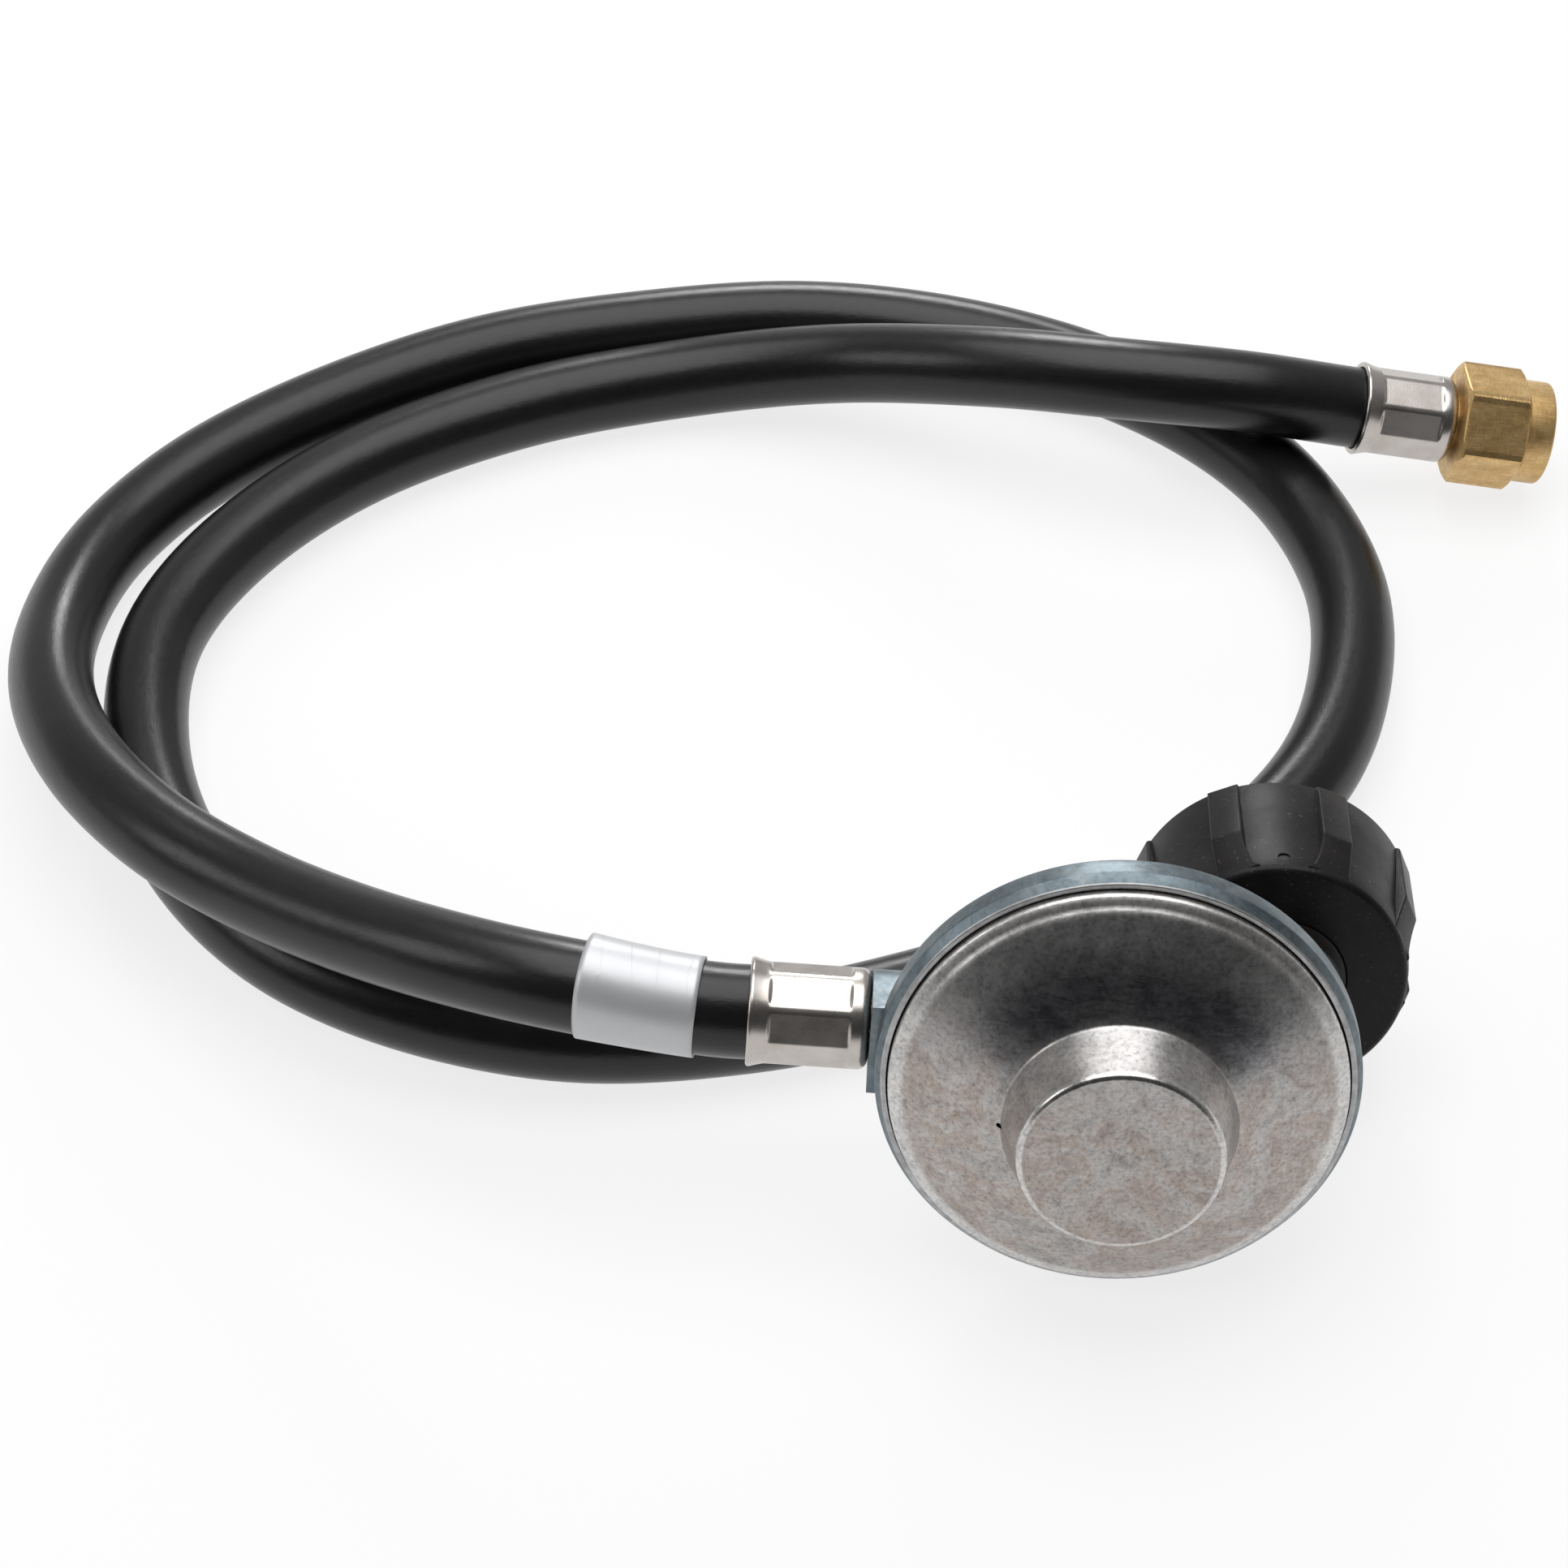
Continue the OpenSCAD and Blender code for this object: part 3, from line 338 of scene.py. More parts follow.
def zinc_body_finish():
    """Cast zinc, bluish and clouded, with a barer front face on its lip."""
    f = Finish("bluish cast zinc", (0.24, 0.29, 0.33), 0.42, 0.9)
    here = f.place(REGULATOR)
    blue = f.ramp(
        f.noise(here, 110, 7, 0.65, 0.8),
        [(0.30, (0.09, 0.115, 0.13)), (0.46, (0.145, 0.18, 0.20))]
        + [(0.60, (0.185, 0.22, 0.238)), (0.75, (0.28, 0.31, 0.32))],
    )
    wear = f.ramp(
        f.noise(here, 620, 6, 0.7, 0.6), [(0.36, 0.72), (0.5, 1.0), (0.68, 1.16)]
    )
    bare = f.ramp(
        f.noise(here, 700, 5, 0.6),
        [(0.35, (0.34, 0.34, 0.345)), (0.7, (0.52, 0.52, 0.52))],
    )
    front = f.step(f.part(here, "Z"), 0.00022, 0.00045)
    f.colour(f.mix(front, f.mix(0.8, blue, wear, "MULTIPLY"), bare))
    f.roughness(f.spread(f.noise(here, 260, 4), 0.30, 0.50))
    f.bump(f.noise(here, 1800, 3, 0.6), 0.00004, 0.4)
    f.bump(f.noise(here, 240, 4, 0.6), 0.00010, 0.35)
    return f.material


def zinc_bonnet_finish():
    """Cast zinc, smoother round the tower, with a painted dark reflection on the cone's
    upper side, a painted highlight on the band towards its edge, and a worn tower rim
    lightened further with a painted highlight.
    """
    f = Finish("worn cast zinc with painted reflections", (0.36, 0.34, 0.33), 0.30, 1.0)
    here = f.place(REGULATOR)
    out = f.radius(here)
    upper = f.step(f.part(here, "Y"), 0.002, 0.020)
    cone = f.step(out, 0.0172, 0.0190)
    # The cone's upper side, between the tower's foot and the edge band, where a dark
    # reflection is painted
    core = f.sum(f.sum(upper, cone, "MULTIPLY"), f.step(out, 0.0295, 0.0215), "MULTIPLY")
    cloud = f.noise(here, 75, 7, 0.66, 0.8)
    warm = f.ramp(
        cloud,
        [(0.34, (0.32, 0.30, 0.29)), (0.45, (0.43, 0.41, 0.395))]
        + [(0.54, (0.375, 0.318, 0.288)), (0.63, (0.45, 0.43, 0.42))]
        + [(0.78, (0.34, 0.31, 0.29))],
    )
    cool = f.ramp(
        cloud,
        [(0.36, (0.17, 0.175, 0.20)), (0.54, (0.30, 0.305, 0.33))]
        + [(0.74, (0.46, 0.455, 0.46))],
    )
    pale = f.ramp(cloud, [(0.36, (0.34, 0.335, 0.335)), (0.6, (0.46, 0.45, 0.445))])
    fine = f.ramp(
        f.noise(here, 1500, 6, 0.70),
        [(0.36, 0.62), (0.46, 0.92), (0.55, 1.03), (0.68, 1.22)],
    )
    blot = f.ramp(
        f.noise(here, 300, 6, 0.68, 0.7), [(0.34, 0.78), (0.50, 1.0), (0.70, 1.10)]
    )
    # Streaks in the painted dark reflection
    painted_reflection_streaks = f.noise(f.place(REGULATOR, (170, 900, 900)), 1.0, 5, 0.65, 1.2)
    dark = f.ramp(painted_reflection_streaks, [(0.38, 0.50), (0.50, 0.95), (0.66, 1.20)])
    silver = f.mix(upper, warm, pale)
    # Painted highlight: the band towards the bonnet's edge is lightened
    silver_with_edge_highlight = f.mix(f.step(out, 0.0312, 0.0326), silver, (0.60, 0.585, 0.57))
    # The tower's rounded rim is lighter all round: polished wear, and a painted highlight
    tower_top = f.step(f.part(here, "Z"), 0.0189, 0.0194)
    edge = f.sum(f.step(out, 0.0141, 0.0145), tower_top, "MULTIPLY")
    worn = f.mix(edge, silver_with_edge_highlight, (0.58, 0.565, 0.55))
    # Painted dark reflection: cool, streaked colour laid over the cone's upper side
    base = f.mix(core, worn, f.mix(0.8, cool, dark, "MULTIPLY"))
    f.colour(f.mix(1.0, f.mix(0.9, base, fine, "MULTIPLY"), blot, "MULTIPLY"))
    grain = f.spread(f.noise(here, 420, 5, 0.65), -0.07, 0.09)
    f.roughness(f.sum(grain, f.spread(f.sum(core, edge, "MAXIMUM"), 0.34, 0.23)))
    f.bump(f.noise(here, 900, 5, 0.65), 0.00004, 0.45)
    f.bump(f.noise(here, 170, 4, 0.55), 0.00014, 0.4)
    return f.material


def nickel_finish():
    f = Finish("nickel plate", (0.52, 0.49, 0.46), 0.24, 1.0)
    here = f.place()
    tone = f.noise(here, 240, 5, 0.6)
    f.colour(
        f.ramp(
            tone,
            [(0.32, (0.47, 0.43, 0.40)), (0.5, (0.52, 0.485, 0.455))]
            + [(0.72, (0.56, 0.53, 0.505))],
        )
    )
    f.roughness(f.spread(tone, 0.24, 0.31))
    f.bump(f.noise(here, 1900, 4, 0.6), 0.00002, 0.35)
    return f.material


def steel_finish(name, colour, roughness):
    f = Finish(name, colour, roughness, 1.0)
    here = f.place()
    f.roughness(f.spread(f.noise(here, 700, 4, 0.6), roughness - 0.08, roughness + 0.1))
    f.bump(f.noise(here, 1600, 3, 0.5), 0.00003, 0.4)
    return f.material


def brass_finish():
    """Brass with turning and drawing marks, smoother on the hexagon's corners."""
    f = Finish("machined brass", (0.62, 0.42, 0.18), 0.42, 0.8)
    along = f.noise(f.place(FLARE, (700, 700, 9000)), 1.0, 3, 0.6)
    across = f.noise(f.place(FLARE, (7000, 7000, 420)), 1.0, 3, 0.6)
    scratch = f.sum(along, across, "MAXIMUM")
    here = f.place(FLARE)
    base = f.ramp(
        f.noise(here, 300, 5, 0.65),
        [(0.32, (0.53, 0.335, 0.13)), (0.52, (0.66, 0.44, 0.19))]
        + [(0.72, (0.74, 0.53, 0.26))],
    )
    marks = f.ramp(scratch, [(0.44, 0.68), (0.56, 1.0), (0.68, 1.32)])
    f.colour(f.mix(0.75, base, marks, "MULTIPLY"))
    corner = f.spread(f.step(f.radius(here), 0.0103, 0.0106), 1.0, 0.4)
    f.roughness(f.sum(f.spread(scratch, 0.30, 0.52), corner, "MULTIPLY"))
    f.bump(scratch, 0.00004, 0.7)
    return f.material


def rubber_finish(name, colour, roughness):
    f = Finish(name, colour, roughness, 0.0, Specular_IOR_Level=0.5)
    f.bump(f.noise(f.place(), 1200, 4, 0.6), 0.00004, 0.5)
    return f.material


def hose_finish():
    """Smooth black rubber with faint lines along the hose."""
    f = Finish("hose rubber", (0.006, 0.006, 0.0065), 0.34, 0.0, Specular_IOR_Level=0.42)
    tone = f.noise(f.place(), 70, 5, 0.6)
    f.colour(
        f.ramp(tone, [(0.3, (0.0045, 0.0045, 0.005)), (0.7, (0.009, 0.009, 0.0095))])
    )
    streak = f.noise(f.place(stretch=(60, 18, 1), uv=True), 1.0, 4, 0.6)
    f.roughness(f.spread(streak, 0.22, 0.38))
    f.bump(streak, 0.00008, 0.35)
    f.bump(f.noise(f.place(), 900, 4, 0.6), 0.00003, 0.5)
    return f.material


def nut_plastic_finish():
    f = Finish("nut plastic", (0.012, 0.0105, 0.011), 0.40, 0.0, Specular_IOR_Level=0.19)
    here = f.place(INLET)
    worn = f.ramp(
        f.noise(here, 160, 6, 0.65),
        [(0.35, (0.0055, 0.0048, 0.005)), (0.7, (0.0125, 0.0105, 0.0107))],
    )
    dust = f.ramp(f.noise(here, 1500, 4, 0.7), [(0.63, 0), (0.70, (0.22, 0.20, 0.19))])
    f.colour(f.mix(0.35, worn, dust, "ADD"))
    f.roughness(f.spread(f.noise(here, 240, 4, 0.6), 0.32, 0.48))
    f.bump(f.noise(here, 2600, 3, 0.6), 0.00003, 0.5)
    f.bump(f.noise(here, 260, 4, 0.6), 0.00012, 0.3)
    return f.material


def foil_finish():
    f = Finish("bare foil", (0.57, 0.575, 0.59), 0.42, 0.5)
    here = f.place()
    f.roughness(f.spread(f.noise(here, 200, 4, 0.6), 0.36, 0.50))
    f.bump(f.noise(here, 90, 3, 0.5), 0.00010, 0.4)
    crease = f.noise(f.place(stretch=(260, 30, 30)), 1.0, 2, 0.4)
    f.bump(f.ramp(crease, [(0.49, 0), (0.5, 1), (0.51, 0)]), 0.00006, 0.3)
    return f.material


def plastic_finish(name, colour, roughness):
    f = Finish(name, colour, roughness)
    f.bump(f.noise(f.place(), 1500, 3, 0.5), 0.00003, 0.4)
    return f.material


FINISHES = {}


def make_finishes():
    FINISHES.update(
        zinc_body=zinc_body_finish(),
        zinc_bonnet=zinc_bonnet_finish(),
        nickel=nickel_finish(),
        steel=steel_finish("zinc plated steel", (0.62, 0.63, 0.65), 0.26),
        spring_steel=steel_finish("drawn spring wire", (0.44, 0.45, 0.47), 0.24),
        brass=brass_finish(),
        hose_rubber=hose_finish(),
        seal_rubber=rubber_finish("seal rubber", (0.018, 0.018, 0.018), 0.5),
        nut_plastic=nut_plastic_finish(),
        bushing_plastic=plastic_finish("bushing plastic", (0.012, 0.011, 0.011), 0.5),
        poppet_plastic=plastic_finish("white acetal", (0.72, 0.68, 0.56), 0.4),
        foil=foil_finish(),
    )


NODE_SLOT = {s["node"]: s["material_slot"] for s in frame["record"]["subparts"]}


def dress(obj, slot):
    """Gives a piece the finish of its material slot, and no other."""
    obj.data.materials.clear()
    obj.data.materials.append(FINISHES[slot])


# ----------------------------------------------------------
# Modelling helpers
# ----------------------------------------------------------


def deselect():
    if bpy.context.object and bpy.context.object.mode != "OBJECT":
        bpy.ops.object.mode_set(mode="OBJECT")
    bpy.ops.object.select_all(action="DESELECT")


def edit():
    bpy.ops.object.mode_set(mode="EDIT")
    bpy.ops.mesh.select_all(action="SELECT")


def object_mode():
    bpy.ops.object.mode_set(mode="OBJECT")
    return bpy.context.object


def pick(obj):
    """Makes a piece the only selected one, and the active one."""
    deselect()
    obj.select_set(True)
    bpy.context.view_layer.objects.active = obj


def apply_place():
    bpy.ops.object.transform_apply(location=True, rotation=True, scale=True)


def copy_of(obj):
    """A copy of a piece with a mesh of its own."""
    made = obj.copy()
    made.data = obj.data.copy()
    bpy.context.scene.collection.objects.link(made)
    return made


def turned(name, outline, steps=96, closed=False):
    """A solid turned about Z from an outline of (radius, height) in millimetres."""
    deselect()
    bpy.ops.mesh.primitive_plane_add(size=MM)
    edit()
    bpy.ops.mesh.merge(type="CENTER")
    r, z = outline[0]
    bpy.ops.transform.translate(value=(r * MM, 0, z * MM))
    run = list(outline) + ([outline[0]] if closed else [])
    for (r0, z0), (r1, z1) in zip(run, run[1:]):
        bpy.ops.mesh.extrude_region_move(
            TRANSFORM_OT_translate={"value": ((r1 - r0) * MM, 0, (z1 - z0) * MM)}
        )
    bpy.ops.mesh.select_all(action="SELECT")
    if closed:
        bpy.ops.mesh.remove_doubles(threshold=1e-7)
    bpy.ops.mesh.spin(steps=steps, angle=TURN, center=(0, 0, 0), axis=(0, 0, 1))
    bpy.ops.mesh.select_all(action="SELECT")
    bpy.ops.mesh.remove_doubles(threshold=2e-7)
    bpy.ops.mesh.normals_make_consistent(inside=False)
    obj = object_mode()
    obj.name = name
    return obj


def arc(cx, cy, r, start, end, n=6):
    """Outline points on an arc, angles in degrees."""
    out = []
    for k in range(n + 1):
        a = math.radians(start + (end - start) * k / n)
        out.append((cx + r * math.cos(a), cy + r * math.sin(a)))
    return out


def smooth(obj, degrees):
    """Shades a piece smooth but for edges that turn by more than an angle."""
    pick(obj)
    bpy.ops.object.shade_smooth_by_angle(angle=math.radians(degrees))


def place(obj, matrix):
    """Puts the piece where it belongs and works its place into its mesh."""
    pick(obj)
    obj.matrix_world = matrix
    apply_place()


def modify(obj, kind, **settings):
    """Adds a modifier to a piece and applies it."""
    pick(obj)
    modifier = obj.modifiers.new(kind.lower(), kind)
    for key, value in settings.items():
        setattr(modifier, key, value)
    bpy.ops.object.modifier_apply(modifier=modifier.name)


def bevel(obj, width, degrees, segments=3):
    """Rounds the edges that turn by more than an angle."""
    modify(
        obj,
        "BEVEL",
        width=width * MM,
        segments=segments,
        limit_method="ANGLE",
        angle_limit=math.radians(degrees),
    )


def combine(obj, other, operation):
    """Joins a shape to a piece or cuts it away, and deletes the shape."""
    modify(obj, "BOOLEAN", operation=operation, object=other, solver="EXACT")
    bpy.data.objects.remove(other, do_unlink=True)


def join(name, *objs):
    """One object made of several, whose solids stay apart."""
    pick(objs[0])
    for obj in objs[1:]:
        obj.select_set(True)
    bpy.ops.object.join()
    objs[0].name = name
    return objs[0]


def finish_piece(obj, name, body, slot, node, matrix=None, degrees=None):
    """Smooths, places, names and dresses a piece, puts it under its body and hides the
    solid that it stands for.
    """
    if degrees is not None:
        smooth(obj, degrees)
    if matrix is not None:
        place(obj, matrix)
    obj.name = name
    dress(obj, slot)
    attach(obj, body)
    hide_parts(node)


def swept(name, path, radius, sides=40, inner=0.0):
    """A closed tube along a path, hollow if it has an inner radius, with a UV map.

    U runs round the tube, V along it in the same measure.
    """
    mesh = bpy.data.meshes.new(name)
    bm = bmesh.new()
    uv = bm.loops.layers.uv.new("along")
    walls = [[]] + ([[]] if inner else [])
    lengths, side = [0.0], None
    for i, p in enumerate(path):
        t = (path[min(i + 1, len(path) - 1)] - path[max(i - 1, 0)]).normalized()
        if side is None:
            side = t.cross(Vector((0, 0, 1))).normalized()
        side = (side - t * side.dot(t)).normalized()
        up = side.cross(t)
        for wall, r in zip(walls, (radius, inner)):
            wall.append(
                [
                    bm.verts.new(
                        p
                        + side * r * math.sin(TURN * k / sides)
                        - up * r * math.cos(TURN * k / sides)
                    )
                    for k in range(sides)
                ]
            )
        if i:
            lengths.append(lengths[-1] + (p - path[i - 1]).length)
    for wall in walls:
        for i, (ring, beyond) in enumerate(zip(wall, wall[1:])):
            for k in range(sides):
                n = (k + 1) % sides
                face = bm.faces.new((ring[k], ring[n], beyond[n], beyond[k]))
                face.smooth = True
                for loop, (u, v) in zip(
                    face.loops, ((k, i), (k + 1, i), (k + 1, i + 1), (k, i + 1))
                ):
                    loop[uv].uv = (u / sides, lengths[v] / (TURN * radius))
    for end in (0, -1):
        rings = [wall[end] for wall in walls]
        if inner:
            for k in range(sides):
                n = (k + 1) % sides
                bm.faces.new((rings[0][k], rings[0][n], rings[1][n], rings[1][k]))
        else:
            bm.faces.new(rings[0])
    bmesh.ops.recalc_face_normals(bm, faces=bm.faces)
    bm.to_mesh(mesh)
    bm.free()
    obj = bpy.data.objects.new(name, mesh)
    bpy.context.scene.collection.objects.link(obj)
    return obj


# ----------------------------------------------------------
# Settings
# ----------------------------------------------------------


class RegulatorStageSettings(bpy.types.PropertyGroup):
    lens: bpy.props.FloatProperty(
        name="Lens", description="Focal length of the camera", default=104.35,
        min=20, max=300,
    )
    pitch: bpy.props.FloatProperty(
        name="Pitch", description="How far the camera looks down", default=math.radians(45),
        subtype="ANGLE",
    )
    distance: bpy.props.FloatProperty(
        name="Distance", description="From the camera to the table", default=0.765,
        subtype="DISTANCE",
    )
    floor_colour: bpy.props.FloatVectorProperty(
        name="Floor", description="Colour of the floor", default=(0.9, 0.9, 0.9),
        subtype="COLOR", min=0, max=1,
    )


class RegulatorHoseSettings(bpy.types.PropertyGroup):
    diameter: bpy.props.FloatProperty(
        name="Diameter", description="Outside diameter of the hose",
        default=2 * HOSE_R * MM, subtype="DISTANCE",
    )


# ----------------------------------------------------------
# Stage
# ----------------------------------------------------------


AIM = (-0.05522, 0.08165, 0)  # where the camera looks on the table, in metres
SENSOR = 36  # the camera's sensor width, in millimetres
FLOOR_SIZE = 6  # in metres
FLOOR_GLOW = 0.80  # how much of the floor's look is an even light of its own
# Each lamp's name, place, aim, size and power, in metres and watts
LAMPS = (
    ("above", (-0.05, 0.25, 1.0), (-0.05, 0.22, 0), (1.1, 1.1), 10.5),
    ("back", (-0.02, 1.25, 0.55), (-0.02, 0.05, 0.04), (0.24, 0.34), 3.6),
    ("side", (-1.05, -0.10, 0.62), (-0.04, 0.05, 0), (0.5, 0.5), 2.0),
)
# The surroundings' grey levels, from behind the object at 0 to its front side at 1
FRONT_SIDE = (0.0, -0.86, 0.51)
WORLD_LEVELS = ((0.10, 0.50), (0.50, 0.36), (0.72, 0.18), (0.90, 0.058))


def area_light(name, spot, aim, size, power):
    deselect()
    bpy.ops.object.light_add(type="AREA", location=spot)
    lamp = bpy.context.object
    lamp.name = name
    lamp.data.shape = "RECTANGLE"
    lamp.data.size, lamp.data.size_y = size
    lamp.data.energy = power
    lamp.rotation_euler = (Vector(aim) - Vector(spot)).to_track_quat("-Z", "Y").to_euler()


def studio_world():
    """Soft surroundings: dark in front of the object, lighter behind it."""
    world = bpy.data.worlds.new("studio")
    bpy.context.scene.world = world
    world.use_nodes = True
    tree = world.node_tree
    tree.nodes.clear()
    new, link = tree.nodes.new, tree.links.new
    coords = new("ShaderNodeTexCoord")
    toward = new("ShaderNodeVectorMath")
    toward.operation = "DOT_PRODUCT"
    toward.inputs[1].default_value = FRONT_SIDE
    link(coords.outputs["Generated"], toward.inputs[0])
    turn = new("ShaderNodeMapRange")
    turn.inputs["From Min"].default_value = -1.0
    link(toward.outputs["Value"], turn.inputs["Value"])
    ramp = new("ShaderNodeValToRGB")
    set_stops(ramp.color_ramp, WORLD_LEVELS)
    link(turn.outputs["Result"], ramp.inputs["Fac"])
    soft = new("ShaderNodeBackground")
    link(ramp.outputs["Color"], soft.inputs["Color"])
    soft.inputs["Strength"].default_value = 1.0
    white = new("ShaderNodeBackground")
    white.inputs["Color"].default_value = (1, 1, 1, 1)
    paths = new("ShaderNodeLightPath")
    mix = new("ShaderNodeMixShader")
    link(paths.outputs["Is Camera Ray"], mix.inputs[0])
    link(soft.outputs[0], mix.inputs[1])
    link(white.outputs[0], mix.inputs[2])
    out = new("ShaderNodeOutputWorld")
    link(mix.outputs[0], out.inputs["Surface"])


def floor_material(colour):
    """Pale and matt, with an even light of its own wherever it is seen or mirrored."""
    material = bpy.data.materials.new("pale floor")
    material.use_nodes = True
    tree = material.node_tree
    tree.nodes.clear()
    new, link = tree.nodes.new, tree.links.new
    base = new("ShaderNodeBsdfDiffuse")
    base.inputs["Color"].default_value = (*colour, 1)
    glow = new("ShaderNodeEmission")
    glow.inputs["Color"].default_value = (1, 1, 1, 1)
    glow.inputs["Strength"].default_value = 1.0
    paths = new("ShaderNodeLightPath")
    seen = paths.outputs["Is Camera Ray"]
    for ray in ("Is Glossy Ray", "Is Transmission Ray"):
        either = new("ShaderNodeMath")
        either.operation = "MAXIMUM"
        link(seen, either.inputs[0])
        link(paths.outputs[ray], either.inputs[1])
        seen = either.outputs[0]
    share = new("ShaderNodeMath")
    share.operation = "MULTIPLY"
    share.inputs[1].default_value = FLOOR_GLOW
    link(seen, share.inputs[0])
    mix = new("ShaderNodeMixShader")
    link(share.outputs[0], mix.inputs[0])
    link(base.outputs[0], mix.inputs[1])
    link(glow.outputs[0], mix.inputs[2])
    out = new("ShaderNodeOutputMaterial")
    link(mix.outputs[0], out.inputs["Surface"])
    return material


class REGULATOR_OT_stage(bpy.types.Operator):
    """Makes the camera, the floor and the soft studio light"""

    bl_idname = "regulator.stage"
    bl_label = "Stage"

    def execute(self, context):
        settings = context.scene.regulator_stage
        back = Vector((0, -math.cos(settings.pitch), math.sin(settings.pitch)))
        deselect()
        bpy.ops.object.camera_add(
            location=Vector(AIM) + back * settings.distance,
            rotation=(math.radians(90) - settings.pitch, 0, 0),
        )
        camera = context.object
        camera.name = "camera"
        camera.data.lens = settings.lens
        camera.data.sensor_width = SENSOR
        camera.data.clip_start, camera.data.clip_end = 0.01, 20
        context.scene.camera = camera
        context.scene.view_settings.view_transform = "Standard"
        deselect()
        bpy.ops.mesh.primitive_plane_add(size=FLOOR_SIZE, location=(0, 0, 0))
        floor = context.object
        floor.name = "floor"
        floor.data.materials.append(floor_material(settings.floor_colour))
        studio_world()
        for lamp in LAMPS:
            area_light(*lamp)
        return {"FINISHED"}


# ----------------------------------------------------------
# Regulator
# ----------------------------------------------------------


def body_shell():
    """The cast body's outside, turned: dished back, rim band and bevelled lip."""
    outline = (
        [(0, BACK_Z)]
        + arc(BACK_R - BACK_ROUND, BACK_Z + BACK_ROUND, BACK_ROUND, -90, -27, 8)
        + [(32.4, -6.5), (33.0, -6.0), (33.2, -5.4)]
        + arc(RIM_R - 0.7, -4.3, 0.7, -90, 0, 5)
        + [(RIM_R, -3.4), (RIM_R, -2.2)]
        + arc(RIM_R - 0.55, -1.35, 0.55, 0, 48, 5)
        + arc(34.75, 0.22, 0.38, 48, 90, 3)
        + [(0, 0.6)]
    )
    return turned("cast_body", outline, 160)


def cylinder(radius, depth, centre, axis, vertices):
    """A plain cylinder used to add to or cut a piece, sizes in millimetres."""
    turn = {"X": (0, math.pi / 2, 0), "Y": (math.pi / 2, 0, 0), "Z": (0, 0, 0)}[axis]
    deselect()
    bpy.ops.mesh.primitive_cylinder_add(
        vertices=vertices,
        radius=radius * MM,
        depth=depth * MM,
        location=[c * MM for c in centre],
        rotation=turn,
    )
    apply_place()
    return bpy.context.object


def block(low, high):
    """A box between two corners in millimetres."""
    deselect()
    bpy.ops.mesh.primitive_cube_add(
        size=1, location=[(a + b) / 2 * MM for a, b in zip(low, high)]
    )
    obj = bpy.context.object
    obj.scale = [(b - a) * MM for a, b in zip(low, high)]
    apply_place()
    return obj


def cast_boss():
    """The outlet's boss: a round nose with straight cheeks up to the rim."""
    middle = (-(OUTLET_FACE_X + BOSS_ROOT_X) / 2, 0, -OUTLET_DEPTH)
    boss = cylinder(BOSS_R, OUTLET_FACE_X - BOSS_ROOT_X, middle, "X", 72)
    low, high = (-OUTLET_FACE_X, -BOSS_R, -OUTLET_DEPTH), (-BOSS_ROOT_X, BOSS_R, -4.6)
    combine(boss, block(low, high), "UNION")
    bevel(boss, 0.55, 50)
    return boss


# The chamber under the diaphragm, up past the ledge that holds the diaphragm's edge
CHAMBER = [(0, -17), (22, -17), (28.5, -9.5), (28.5, -3.2), (34.2, -3.2), (34.2, 0.2)]
CHAMBER += [(34.6, 2), (0, 2)]
# The hidden ribs round the back: how many, first angle and step, and one rib's corners
RIBS, RIB_FROM, RIB_STEP = 5, 100, 40
RIB_BOX = ((9.5, -0.7, -21.0), (24.3, 0.7, -18.5))
# The two ears that hold the lever's pin, and the pin's hole
EAR_X, EAR_Z, EAR_WIDTH, EAR_STARTS = (16.6, 21.4), (-17.3, -6.8), 2, (-6.5, 4.5)
PIN_R, PIN_LEN, PIN_X, PIN_Z = 1.0, 16, 19, -9
# Straight bores: radius, length, middle, axis and sides
INLET_BORE = (5.6, 20, (INLET_X, 0, -7), "Z", 64)
BORES = (
    (5.0, 9.4, (-34.2, 0, -OUTLET_DEPTH), "X", 48),
    (2.7, 14, (-30, 0, -OUTLET_DEPTH), "X", 32),
    (NIPPLE_BORE_R, 9.02, (INLET_X, 0, -24.51), "Z", 48),
    (3.4, 6, (INLET_X, 0, -18), "Z", 40),
    (PIN_R, PIN_LEN, (PIN_X, 0, PIN_Z), "Y", 24),
)


class REGULATOR_OT_body(bpy.types.Operator):
    """Makes the cast body with its rim, outlet boss, inlet boss and lever ears"""

    bl_idname = "regulator.body"
    bl_label = "Body"

    def execute(self, context):
        body = body_shell()
        combine(body, cast_boss(), "UNION")
        inlet = turned(
            "inlet_boss",
            [(0, INLET_BOSS_Z)]
            + arc(INLET_BOSS_R - 0.7, INLET_BOSS_Z + 0.7, 0.7, -90, 0, 4)
            + [(INLET_BOSS_R, -5.6), (0, -5.6)],
            64,
        )
        place(inlet, Matrix.Translation((INLET_X * MM, 0, 0)))
        combine(body, inlet, "UNION")
        for spot in range(RIBS):
            rib = block(*RIB_BOX)
            bevel(rib, 0.35, 30, 2)
            place(rib, Matrix.Rotation(math.radians(RIB_FROM + RIB_STEP * spot), 4, "Z"))
            combine(body, rib, "UNION")
        combine(body, cylinder(*INLET_BORE), "DIFFERENCE")
        combine(body, turned("chamber", CHAMBER, 160), "DIFFERENCE")
        for y in EAR_STARTS:
            low, high = (EAR_X[0], y, EAR_Z[0]), (EAR_X[1], y + EAR_WIDTH, EAR_Z[1])
            combine(body, block(low, high), "UNION")
        for bore in BORES:
            combine(body, cylinder(*bore), "DIFFERENCE")
        finish_piece(
            body, "cast_body", "regulator", "zinc_body", "body_casting", REGULATOR, 32
        )
        return {"FINISHED"}


